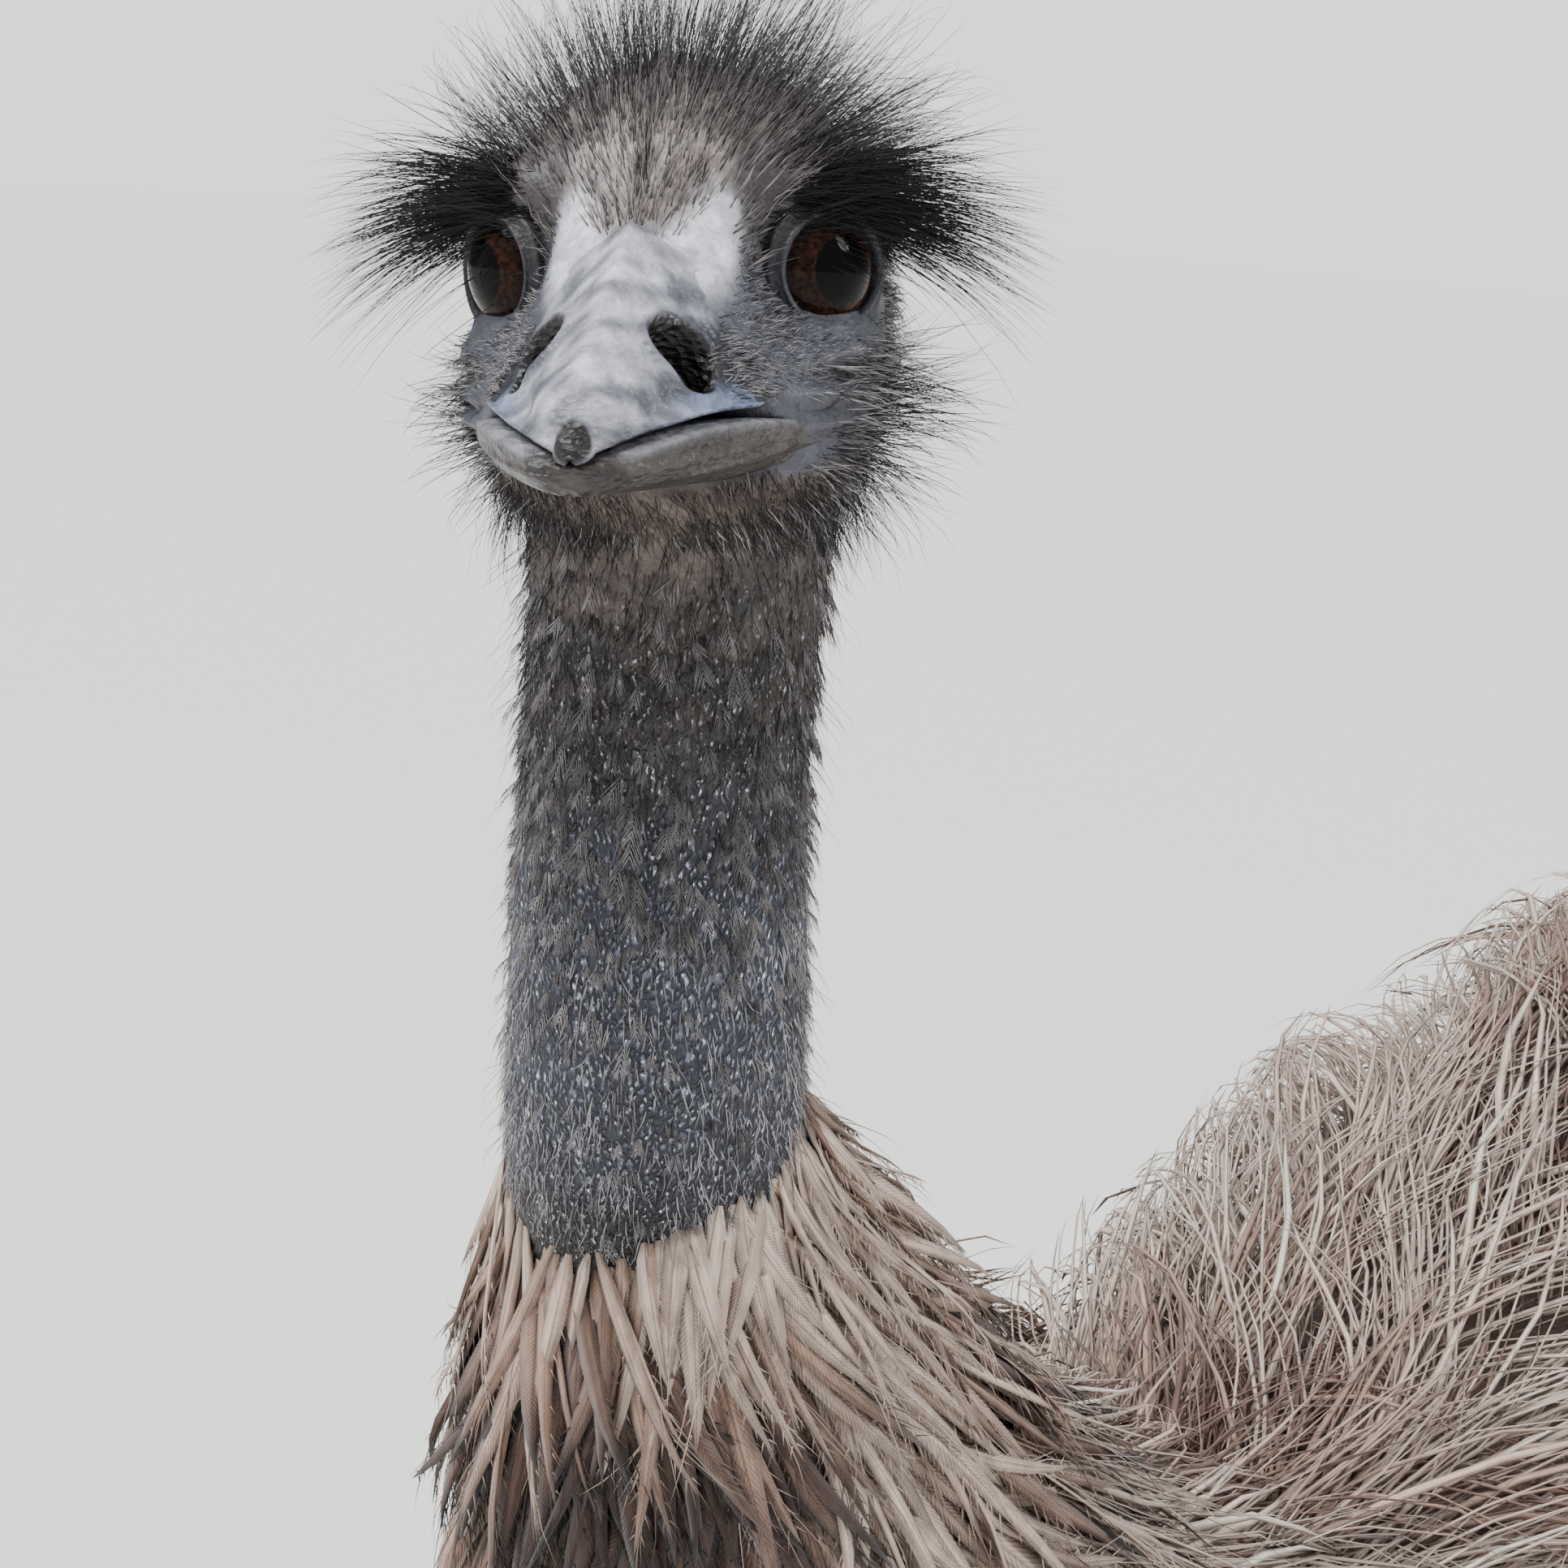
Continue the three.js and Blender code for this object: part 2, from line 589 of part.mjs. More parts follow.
function neckPieces(head) {
  const whole = tubeSolid(neck, NECK_PLACES, NECK_AROUND, "core");
  const ruffed = join([whole, ...tubeLocks(neck, NECK_CORE, RUFF_COAT, RUFF_ROWS, RUFF_AROUND)]);
  const cut = (at) => ({ point: neck.centre(at), normal: neck.frame(at).ahead });
  const top = cut(HEAD_NECK_CUT);
  const ruff = cut(RUFF_CUT);
  const chest = cut(CHEST_CUT);
  const up = (plane) => plane.normal.clone().negate();
  const upper = cutPast(cutPast(whole, top.point, up(top)), ruff.point, ruff.normal);
  const lower = cutPast(cutPast(ruffed, ruff.point, up(ruff)), chest.point, chest.normal);
  const root = cutPast(whole, chest.point, up(chest));
  const stub = cutPast(whole, top.point, top.normal);
  return { upper, lower, root, head: cutPast(head.add(stub), top.point, top.normal) };
}

// A place on the trunk, drawn in from the outline of the plumage, and its outward direction
function trunkPlace(at, angle, inset) {
  const level = along(TRUNK, "level", at);
  const half = Math.max(along(TRUNK, "half", at) - inset, 8);
  const up = Math.max(along(TRUNK, "top", at) - level - inset, 8);
  const down = Math.max(level - along(TRUNK, "bottom", at) - inset, 8);
  const [side, rise] = oval(angle, half, up, down, TRUNK_SQUARE);
  const tall = rise > 0 ? up : down;
  const point = vec(side, at, BACK_HEIGHT + level + rise);
  return { point, out: vec(side / half ** 2, 0, rise / tall ** 2).normalize() };
}

function trunkCore() {
  const ring = (at) => turn(TRUNK_AROUND).map((angle) => trunkPlace(at, angle, TRUNK_COAT.inset).point);
  return loft(TRUNK_PLACES.map(ring));
}

// A lock that runs back and down over the trunk from one row and angle
function trunkLock(row, degrees, sign) {
  const { inset, thick, width, length } = TRUNK_COAT;
  const at = row + swing(22);
  const angle = rad(degrees + swing(5)) * sign;
  const steep = TRUNK_SLANT.top + TRUNK_SLANT.flank * Math.sin(Math.abs(angle));
  const slant = rad(steep + swing(TRUNK_SLANT.swing));
  const long = vary(length, 0.15);
  const radius = along(TRUNK, "half", at) * 1.1;
  const places = LOCK_SHAPE.map((shape) => {
    const back = at + long * shape.at * Math.cos(slant);
    const round = angle + (sign * long * shape.at * Math.sin(slant)) / radius;
    const depth = inset * (1 - shape.rise) + LOCK_SINK * (1 - shape.at) ** 3;
    return trunkPlace(back, THREE.MathUtils.clamp(round, -Math.PI, Math.PI), depth);
  });
  return lock(places, vary(width, 0.12), thick, rad(9 + swing(6)) * sign);
}

function trunkLocks() {
  const locks = [];
  for (let row = TRUNK_COAT.first; row < TRUNK_COAT.last; row += TRUNK_COAT.rowStep) {
    for (const sign of [1, -1]) {
      for (const degrees of TRUNK_ANGLES) locks.push(trunkLock(row, degrees, sign));
    }
  }
  return locks;
}

// Plumes that fall over the rump
function rumpLocks() {
  const { inset, thick, width, length, droop, lift } = RUMP_COAT;
  const locks = [];
  for (const at of RUMP_ROWS) {
    for (const sign of [1, -1]) {
      for (const degrees of RUMP_ANGLES) {
        const angle = rad(degrees + 9 + swing(6)) * sign;
        const root = trunkPlace(at, angle, inset);
        const next = trunkPlace(at + RUMP_RUN.back, angle + RUMP_RUN.round * sign, inset);
        const run = next.point.sub(root.point).normalize();
        const ahead = run.add(vec(0, 0, -RUMP_RUN.down)).normalize();
        const hang = { root: root.point, ahead, out: root.out, lift, droop: vary(droop, 0.4), thick };
        const roll = rad(10 + swing(7)) * sign;
        locks.push(looseLock({ ...hang, length: vary(length, 0.15), width: vary(width, 0.15), roll }));
      }
    }
  }
  return locks;
}

// A wing: a small arm with vanes that run back and down, made larger by grow to cut its place in the flank
function wing(sign, grow) {
  const arm = new THREE.SphereGeometry(1, 9, 5);
  arm.scale(WING.thick + grow, WING.length + grow, WING.height + grow);
  arm.rotateX(rad(WING.tilt));
  arm.translate(sign * WING.side, WING.y, WING.z);
  const pieces = [toManifold(arm)];
  const { count, length, width, thick, lift, droop } = WING_VANES;
  const { proud, y, spanY, z, spanZ } = WING_ROOTS;
  for (let i = 0; i < count; i += 1) {
    const t = i / (count - 1);
    const root = vec(sign * (WING.side + proud), WING.y + y + spanY * t, WING.z + z + spanZ * t);
    const ahead = vec(0, 1, -0.2 - 0.3 * t).normalize();
    const vane = { root, ahead, out: vec(sign, 0, 0.15).normalize(), lift, droop };
    const size = { length: length * (1 - 0.12 * t) + grow, width: width + 2 * grow, thick: thick + 2 * grow };
    pieces.push(looseLock({ ...vane, ...size, roll: rad(WING_VANES.roll) * sign }));
  }
  return join(pieces);
}

// Places and lifts of rings that give a row of scutes, each rising to a proud lower edge
function scuteRings({ count, from, to, proud }) {
  const pitch = (to - from) / count;
  return steps(0, count - 1, count - 1).flatMap((i) => [
    { at: from + pitch * i, lift: 0 },
    { at: from + pitch * (i + SCUTE_STEP), lift: proud },
  ]);
}

// The scaly shank: smooth behind, with broad scutes down the front
function shankSolid(shank) {
  const rings = [...SHANK_TOP, ...scuteRings(SHANK_SCUTES), ...SHANK_FOOT];
  return loft(
    rings.map(({ at, lift }) =>
      turn(LEG_AROUND).map((angle) => {
        const point = shank.surface(at, angle, "coat");
        const out = point.clone().sub(shank.centre(at)).normalize();
        return point.addScaledVector(out, lift * Math.max(0, -Math.cos(angle)) ** 0.5);
      }),
    ),
  );
}

function legPieces(sign) {
  const thighTable = withCore(THIGH, THIGH_COAT.share).map((row) => ({ ...row, y: row.y + STANCE_Y }));
  const thigh = tube(thighTable, THIGH_DEPTH_RATIO, sign);
  const shank = tube(SHANK.map((row) => ({ ...row, y: row.y + STANCE_Y })), SHANK_DEPTH_RATIO, sign);
  const ankle = { point: thigh.centre(THIGH_CUT), normal: thigh.frame(THIGH_CUT).ahead };
  const belly = vec(0, 0, BELLY_CUT);
  const bare = tubeSolid(thigh, THIGH_PLACES, LEG_AROUND, "core");
  const feathered = join([bare, ...tubeLocks(thigh, thighTable, THIGH_COAT, THIGH_ROWS, THIGH_AROUND)]);
  const upper = cutPast(cutPast(feathered, belly, vec(0, 0, 1)), ankle.point, ankle.normal);
  const scaled = shankSolid(shank);
  const lower = cutPast(scaled, ankle.point, ankle.normal.clone().negate());
  const pad = new THREE.SphereGeometry(1, 10, 6);
  pad.scale(PAD.radius, PAD.radius, PAD.height);
  pad.translate(sign * PAD.x, PAD.y + STANCE_Y, PAD.z);
  const step = vec(0, 0, FOOT_CUT);
  const floor = halfSpace(vec(0, 0, 0), vec(0, 0, -1));
  return {
    hip: cutPast(bare, belly, vec(0, 0, -1)),
    thigh: upper,
    shank: cutPast(lower, step, vec(0, 0, -1)),
    foot: cutPast(scaled.add(toManifold(pad)), step, vec(0, 0, 1)).subtract(floor),
  };
}

// One toe's own frame and the places on its surface, with the sole cut flat on the floor
function toeShape(toe, sign) {
  const yaw = rad(toe.yaw) * sign;
  const ahead = vec(Math.sin(yaw), -Math.cos(yaw), 0);
  const side = vec(Math.cos(yaw), Math.sin(yaw), 0);
  const root = vec(sign * PAD.x, PAD.y + STANCE_Y, 0);
  const at = (forward, across, z) =>
    root.clone().addScaledVector(ahead, forward).addScaledVector(side, across).setZ(z);
  const place = (t, angle) => {
    const bulge = 1 - TOE.taper * t + TOE.joints * Math.cos(t * TOE.waves * 2 * Math.PI);
    const height = toe.height * bulge * (1 - TOE.fall * t);
    const [across, rise] = oval(angle, toe.half * bulge, height / 2, height / 2, TOE.square);
    const out = side.clone().multiplyScalar(Math.sin(angle)).add(vec(0, 0, Math.cos(angle)));
    return { point: at(toe.length * t, across, Math.max(0, height * TOE.rise + rise)), out };
  };
  return { ahead, at, place };
}

function toeClaw(toe, shape) {
  const base = toe.length - CLAW.sunk;
  const rings = steps(0, 1, 4).map((t) => {
    const size = (1 - t) ** 0.7 + CLAW.tip;
    const z = toe.height * CLAW.rise - CLAW.droop * t * t;
    const tall = (CLAW.height * size) / 2;
    return turn(CLAW.around).map((angle) => {
      const [across, rise] = oval(angle, CLAW.half * size, tall, tall);
      return shape.at(base + (CLAW.length + CLAW.sunk) * t, across, z + rise);
    });
  });
  return loft(rings);
}

// A toe with broad scutes over its top, from the middle of the foot to its tip
function toeBody(toe, shape) {
  const first = toe.start / toe.length + TOE_SCUTES.from;
  const scutes = scuteRings({ count: toe.scutes, from: first, to: TOE_SCUTES.to, proud: TOE_SCUTES.proud });
  const rings = [{ at: 0, lift: 0 }, { at: first * 0.5, lift: 0 }, ...scutes, { at: 1, lift: 0 }];
  return loft(
    rings.map(({ at, lift }) =>
      turn(TOE_AROUND).map((angle) => {
        const { point, out } = shape.place(at, angle);
        return point.addScaledVector(out, lift * Math.max(0, Math.cos(angle)) ** 0.5);
      }),
    ),
  );
}

function toePieces(toe, sign) {
  const shape = toeShape(toe, sign);
  const body = toeBody(toe, shape);
  const claw = toeClaw(toe, shape);
  const start = shape.at(toe.start, 0, 0);
  const end = shape.at(toe.length - 3, 0, 0);
  const back = shape.ahead.clone().negate();
  return {
    root: cutPast(body, start, shape.ahead),
    flesh: cutPast(cutPast(body, start, back), end, shape.ahead),
    claw: cutPast(claw, end, back),
  };
}

const sideName = (sign) => (sign > 0 ? "left" : "right");

const COLOURS = {
  head_skin: 0x4b4a4c,
  bill_horn: 0x6f7278,
  eye_glass: 0x2a1a12,
  neck_skin: 0x565b68,
  ruff_feathers: 0xa39683,
  body_feathers: 0x8b7763,
  leg_scales: 0x5d544b,
  claw_horn: 0x2b2724,
};

function material(slot) {
  const roughness = slot === "eye_glass" ? 0.1 : 0.75;
  const made = new THREE.MeshStandardMaterial({ color: COLOURS[slot], roughness, metalness: 0 });
  made.name = slot;
  return made;
}

function addNode(group, name, slot, manifold) {
  const mesh = new THREE.Mesh(toGeometry(largest(manifold)), material(slot));
  mesh.name = name;
  group.add(mesh);
}

function addHeadAndNeck(group) {
  const parts = headPieces();
  const necks = neckPieces(parts.head);
  addNode(group, "head", "head_skin", necks.head);
  addNode(group, "bill_upper", "bill_horn", parts.upper);
  addNode(group, "bill_lower", "bill_horn", parts.lower);
  addNode(group, "eye_left", "eye_glass", ball(EYE_RADIUS, 1));
  addNode(group, "eye_right", "eye_glass", ball(EYE_RADIUS, -1));
  addNode(group, "neck_upper", "neck_skin", necks.upper);
  addNode(group, "neck_ruff", "ruff_feathers", necks.lower);
  return necks.root;
}

function addTrunk(group, neckRoot, hips) {
  const chest = { point: neck.centre(CHEST_CUT), normal: neck.frame(CHEST_CUT).ahead };
  const flat = (piece) => cutPast(piece, vec(0, 0, BELLY_CUT), vec(0, 0, -1));
  const body = trunkCore();
  const rumpPlane = vec(0, RUMP_CUT, 0);
  const rump = cutPast(join([body, ...rumpLocks()]), rumpPlane, vec(0, -1, 0));
  const front = join([body, neckRoot, ...hips, ...trunkLocks()]);
  let trunk = flat(cutPast(front, rumpPlane, vec(0, 1, 0)));
  trunk = cutPast(trunk, chest.point, chest.normal.clone().negate());
  for (const sign of [1, -1]) {
    trunk = trunk.subtract(wing(sign, GAP));
    addNode(group, `wing_${sideName(sign)}`, "body_feathers", wing(sign, 0));
  }
  addNode(group, "torso", "body_feathers", trunk);
  addNode(group, "tail", "body_feathers", flat(rump));
}

// Adds one leg, and gives back the part of its thigh that lies inside the trunk
function addLeg(group, sign) {
  const name = sideName(sign);
  const leg = legPieces(sign);
  let foot = leg.foot;
  for (const toe of TOES) {
    const made = toePieces(toe, sign);
    foot = foot.add(made.root);
    addNode(group, `toe_${toe.name}_${name}`, "leg_scales", made.flesh);
    addNode(group, `claw_${toe.name}_${name}`, "claw_horn", made.claw);
  }
  addNode(group, `thigh_${name}`, "body_feathers", leg.thigh);
  addNode(group, `shank_${name}`, "leg_scales", leg.shank);
  addNode(group, `foot_${name}`, "leg_scales", foot);
  return leg.hip;
}

// Moves the bird so that the middle of its bounding box stands over the origin
function centred(group) {
  const box = new THREE.Box3().setFromObject(group);
  const middle = box.getCenter(new THREE.Vector3());
  for (const mesh of group.children) mesh.geometry.translate(-middle.x, -middle.y, -box.min.z);
  return group;
}

const group = new THREE.Group();
group.name = "emu";
const neckRoot = addHeadAndNeck(group);
const hips = [addLeg(group, 1), addLeg(group, -1)];
addTrunk(group, neckRoot, hips);

export default centred(group);
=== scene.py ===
import math

import bpy
import numpy as np
from bpy.props import FloatProperty, FloatVectorProperty, IntProperty, PointerProperty
from mathutils import Matrix, Vector


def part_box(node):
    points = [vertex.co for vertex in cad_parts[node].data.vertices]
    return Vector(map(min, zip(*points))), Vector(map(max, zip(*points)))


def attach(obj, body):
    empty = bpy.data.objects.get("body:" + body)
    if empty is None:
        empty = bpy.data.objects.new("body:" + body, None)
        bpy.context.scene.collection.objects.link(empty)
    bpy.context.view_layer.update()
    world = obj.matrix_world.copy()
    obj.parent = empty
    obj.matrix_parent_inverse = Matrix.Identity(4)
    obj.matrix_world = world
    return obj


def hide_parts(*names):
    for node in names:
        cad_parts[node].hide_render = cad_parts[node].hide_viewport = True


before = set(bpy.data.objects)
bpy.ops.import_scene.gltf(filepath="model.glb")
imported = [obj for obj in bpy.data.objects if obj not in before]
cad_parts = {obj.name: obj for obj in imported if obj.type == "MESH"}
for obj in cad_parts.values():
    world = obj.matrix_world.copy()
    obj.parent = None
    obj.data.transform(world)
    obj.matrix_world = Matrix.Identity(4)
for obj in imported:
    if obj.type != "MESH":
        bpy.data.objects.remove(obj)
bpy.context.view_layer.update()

bl_info = {
    "name": "Standing emu",
    "version": (1, 0, 0),
    "blender": (4, 5, 0),
    "location": "3D View > Sidebar > Emu",
    "description": "Skin, bill, eyes, plumage, legs and stage of a life-size standing emu",
    "category": "Object",
}

# Sizes below are in millimetres, in the bird's own frame: it faces -Y, its left side is +X, floor at 0
SEED = 7
PLUMAGE_SEED = 60
MM = 0.001
PATCH = 0.003
SIDES = (("left", 1), ("right", -1))

EYE_MIDDLE = np.array([29.0, -524.0, 1248.0])
HEAD_YAW = 32.0
HEAD_PITCH = 2.0
HEAD_ROLL = 4.5
BACK_HEIGHT = 1050.0
EYE = {"radius": 15.0, "forward": -10.2, "side": 22.8, "outward": 47.0, "opening": 9.9}
NOSTRIL = {"forward": 44.5, "side": 11.9, "up": -11.0, "long": 7.0, "wide": 7.8, "high": 7.4, "deep": 9.0}
EAR = {"forward": -41.0, "side": 35.0, "up": -14.0, "radius": 6.0}
FOREHEAD_POINT = np.array([24.0, 0.0, 9.0])
STANCE_Y = 88.0


def table(names, rows):
    """Columns of numbers by name, from rows of stations."""
    columns = np.array(rows, float).T
    return dict(zip(names.split(), columns))


HEAD = table(
    "at half top level bottom square",
    [
        (-71, 7, 4, -8, -18, 2),
        (-64, 22, 19, -9, -34, 2),
        (-48, 33, 30, -10, -50, 2.1),
        (-25, 37.5, 36, -13, -56, 2.1),
        (-2, 37, 30, -18, -51, 1.9),
        (10, 32.5, 19.5, -22, -44, 1.5),
        (22, 27.5, 10.5, -22, -37.5, 1.35),
        (35, 24.3, 3.5, -20.8, -35, 1.3),
        (50, 19.5, -3.5, -19.8, -33, 1.3),
        (62, 14, -9.5, -20.3, -31.5, 1.4),
        (70, 8.5, -14.5, -22, -30, 1.8),
        (75, 3, -21, -24, -28.5, 2),
    ],
)
HEAD_LOWER_SQUARE = 2.3
MOUTH_LINE = table(
    "at up",
    [
        (-12, -24.5),
        (0, -22.8),
        (12, -22.8),
        (22, -22),
        (35, -20.6),
        (50, -19.8),
        (62, -20.4),
        (70, -22),
        (80, -26),
    ],
)
NECK = table(
    "at x y z flesh coat",
    [
        (0, 17, -499, 1225, 28.5, 29),
        (1, 11, -495, 1160, 26.5, 28),
        (2, 2, -483, 1100, 29, 30),
        (3, -8, -469, 1058, 30, 35),
        (4, -15, -440, 1000, 34, 62),
        (5, -20, -405, 935, 46, 80),
        (6, -12, -350, 865, 68, 108),
        (7, 0, -270, 815, 80, 100),
    ],
)
TRUNK = table(
    "at half top level bottom",
    [
        (-392, 40, -215, -270, -322),
        (-365, 88, -184, -268, -376),
        (-290, 132, -134, -264, -430),
        (-190, 166, -88, -259, -459),
        (-70, 192, -45, -257, -472),
        (60, 207, -12, -259, -480),
        (170, 208, 0, -264, -478),
        (280, 196, -18, -276, -466),
        (380, 168, -68, -296, -448),
        (460, 124, -146, -322, -430),
        (520, 66, -238, -348, -420),
        (540, 24, -305, -362, -405),
    ],
)
THIGH = table(
    "at x y z flesh coat",
    [
        (-1, 92, -62, 720, 60, 86),
        (0, 92, -30, 640, 62, 88),
        (1, 90, -4, 560, 56, 80),
        (2, 87, 24, 490, 42, 60),
        (3, 85, 46, 430, 29, 38),
        (4, 84, 54, 402, 24, 26),
    ],
)
SHANK = table(
    "at x y z flesh",
    [
        (0, 84, 54, 410, 23),
        (1, 84, 57, 385, 29),
        (2, 84, 53, 350, 22),
        (3, 85, 40, 270, 16.5),
        (4, 86, 24, 150, 16),
        (5, 87, 12, 70, 20),
        (6, 87, 5, 30, 26),
    ],
)
PAD = {"x": 87.0, "y": 2.0, "radius": 30.0, "height": 26.0, "z": 22.0}
TOES = {
    "inner": {"yaw": -33.0, "length": 84.0, "half": 12.0, "height": 22.0, "plates": 9},
    "middle": {"yaw": 2.0, "length": 128.0, "half": 15.5, "height": 27.0, "plates": 15},
    "outer": {"yaw": 38.0, "length": 88.0, "half": 12.5, "height": 22.0, "plates": 10},
}
CLAW = {"length": 26.0, "half": 7.0, "height": 13.0, "droop": 5.0, "sunk": 5.0, "tip": 0.06}
WING = {"side": 172.0, "y": -140.0, "z": 868.0}
NECK_DEPTH = 1.12
THIGH_DEPTH = 1.12
SHANK_DEPTH = 1.1
TRUNK_SQUARE = 2.15
TRUNK_ZONES = ((-386, -130), (-130, 110), (110, 345))
FLESH_INSET = 52.0
THIGH_FLESH_SHARE = 0.94
HEAD_HALF = 38.0
NECK_END = 7.0
# How far the centre lines of feathers may run along the neck, and along a thigh
PATH_ENDS = (6.9, 3.98)
RUFF_FRONT = 0.78 * np.pi
HAIR_SUNK = 0.6
VANE = {"thick": 0.3, "dip": 0.12}
LOCK = {"strands": 6, "steps": 6, "fine": 0.5}
LID = {"rows": 34, "columns": 96}
SHANK_PLATES = 34
SCUTE_HALF_ANGLE = 0.95
VOXEL = {"head": 1.65, "trunk": 7.5, "leg": 3.0}
RELAX = {"head": 4, "trunk": 6, "leg": 2}

# The camera's place in millimetres, its turn in degrees, its sensor in millimetres and its clip in metres
CAMERA = {
    "place": (417.3, -942.6, 1276.0),
    "azimuth": 40.0,
    "pitch": 11.9,
    "roll": 3.8,
    "sensor": 36.0,
    "clip": 0.02,
}
SKY = {"light": 0.75, "seen": 1.85}


def smooth(low, high, value):
    """0 below low, 1 above high and a soft step between."""
    t = np.clip((value - low) / (high - low), 0, 1)
    return t * t * (3 - 2 * t)


def bell(value, middle, width):
    """A bump of height 1 round a middle value."""
    return np.exp(-(((value - middle) / width) ** 2))


def unit(vectors):
    length = np.linalg.norm(vectors, axis=-1, keepdims=True)
    return vectors / np.maximum(length, 1e-9)


def mix(a, b, share):
    return a + (b - a) * share


def along(stations, key, at):
    """Reads a column at any place, on a smooth curve through its stations."""
    places = stations["at"]
    values = stations[key]
    at = np.asarray(at, float)
    last = len(places) - 1
    index = np.arange(last + 1)
    low = np.maximum(index - 1, 0)
    high = np.minimum(index + 1, last)
    slope = (values[high] - values[low]) / (places[high] - places[low])
    i = np.clip(np.searchsorted(places, at, side="right") - 1, 0, last - 1)
    span = places[i + 1] - places[i]
    t = np.clip((at - places[i]) / span, 0, 1)
    t2 = t * t
    t3 = t2 * t
    ends = values[i] * (2 * t3 - 3 * t2 + 1) + values[i + 1] * (3 * t2 - 2 * t3)
    return ends + span * (slope[i] * (t3 - 2 * t2 + t) + slope[i + 1] * (t3 - t2))


def oval(angle, half, up, down, power=2.0):
    """Side and rise of a point of an oval section, with angle 0 at the top."""
    s = np.sin(angle)
    c = np.cos(angle)
    side = np.sign(s) * np.abs(s) ** (2 / power) * half
    rise = np.sign(c) * np.abs(c) ** (2 / power) * np.where(c > 0, up, down)
    return side, rise


def turned(axis, degrees):
    return np.array(Matrix.Rotation(math.radians(degrees), 3, axis))


def head_frame():
    """Columns: forward along the bill, side to the bird's left, and up."""
    base = np.array([[0, 1, 0], [-1, 0, 0], [0, 0, 1]], float)
    return turned("Z", HEAD_YAW) @ base @ turned("Y", HEAD_PITCH) @ turned("X", HEAD_ROLL)


HEAD_AXES = head_frame()


def from_head(points):
    return EYE_MIDDLE + points @ HEAD_AXES.T


def to_head(points):
    return (points - EYE_MIDDLE) @ HEAD_AXES


def frame_shift():
    """Moves the bird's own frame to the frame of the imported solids, read from the two eyes."""
    corners = [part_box(name) for name in ("eye_left", "eye_right")]
    middle = np.mean([np.array(low) + np.array(high) for low, high in corners], axis=0) / 2
    eyes = from_head(np.array([EYE["forward"], 0, 0]))
    shift = middle / MM - eyes
    shift[2] = 0
    return shift


SHIFT = frame_shift()


def to_row(points):
    return (points + SHIFT) * MM


def head_surface(at, angle, grow=0.0):
    """Places on the flesh of the head in the head's frame."""
    level = along(HEAD, "level", at)
    up = along(HEAD, "top", at) - level + grow
    down = level - along(HEAD, "bottom", at) + grow
    half = along(HEAD, "half", at) + grow
    power = np.where(np.cos(angle) > 0, along(HEAD, "square", at), HEAD_LOWER_SQUARE)
    side, rise = oval(angle, half, up, down, power)
    return np.stack([at + 0 * side, side, level + rise], axis=-1)


def tube_centre(stations, at, sign=1.0, lift=0.0):
    x = sign * along(stations, "x", at)
    return np.stack([x, along(stations, "y", at) + lift, along(stations, "z", at)], axis=-1)


def tube_surface(stations, at, angle, half, depth, sign=1.0, lift=0.0):
    """Places on a neck or limb, and their outward and onward directions."""
    centre = tube_centre(stations, at, sign, lift)
    ahead = unit(tube_centre(stations, at + 0.02, sign, lift) - tube_centre(stations, at - 0.02, sign, lift))
    side = unit(np.array([1.0, 0, 0]) - ahead * ahead[..., :1])
    back = -np.cross(ahead, side)
    across, deep = oval(angle, half, half * depth, half * depth)
    point = centre + side * across[..., None] + back * deep[..., None]
    return point, unit(point - centre), ahead


def trunk_place(at, angle, inset):
    """Places on the trunk, drawn in from the outline of the plumage, and their outward directions."""
    level = along(TRUNK, "level", at)
    half = np.maximum(along(TRUNK, "half", at) - inset, 6)
    up = np.maximum(along(TRUNK, "top", at) - level - inset, 6)
    down = np.maximum(level - along(TRUNK, "bottom", at) - inset, 6)
    side, rise = oval(angle, half, up, down, TRUNK_SQUARE)
    tall = np.where(rise > 0, up, down)
    point = np.stack([side, at + 0 * side, BACK_HEIGHT + level + rise], axis=-1)
    out = unit(np.stack([side / half**2, 0 * side, rise / tall**2], axis=-1))
    return point, out


def link(obj):
    bpy.context.scene.collection.objects.link(obj)
    return obj


def finish_piece(obj, slot, *nodes):
    """Rides a piece on the bird, and hides the imported nodes that it stands for; the slot is not used."""
    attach(obj, "root")
    if nodes:
        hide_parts(*nodes)
    return obj


def new_mesh(name, points, faces):
    """A mesh from points in millimetres and an array of triangles or quads."""
    mesh = bpy.data.meshes.new(name)
    sides = faces.shape[1]
    mesh.vertices.add(len(points))
    mesh.vertices.foreach_set("co", to_row(points).astype(np.float32).ravel())
    mesh.loops.add(faces.size)
    mesh.loops.foreach_set("vertex_index", faces.astype(np.int32).ravel())
    mesh.polygons.add(len(faces))
    mesh.polygons.foreach_set("loop_start", np.arange(0, faces.size, sides, dtype=np.int32))
    mesh.polygons.foreach_set("loop_total", np.full(len(faces), sides, dtype=np.int32))
    mesh.update(calc_edges=True)
    mesh.polygons.foreach_set("use_smooth", np.full(len(faces), True))
    return mesh


def give_value(mesh, name, values):
    layer = mesh.attributes.new(name, "FLOAT", "POINT")
    layer.data.foreach_set("value", np.asarray(values, np.float32).ravel())


def give_colour(mesh, name, values):
    layer = mesh.attributes.new(name, "FLOAT_COLOR", "POINT")
    full = np.ones((len(values), 4), np.float32)
    full[:, :3] = values
    layer.data.foreach_set("color", full.ravel())


def grid_faces(rows, columns, closed=True):
    """Quads over a grid of points, which closes round its columns."""
    r = np.arange(rows - 1)[:, None]
    c = np.arange(columns if closed else columns - 1)[None, :]
    a = r * columns + c
    b = r * columns + (c + 1) % columns
    return np.stack([a, b, b + columns, a + columns], axis=-1).reshape(-1, 4)


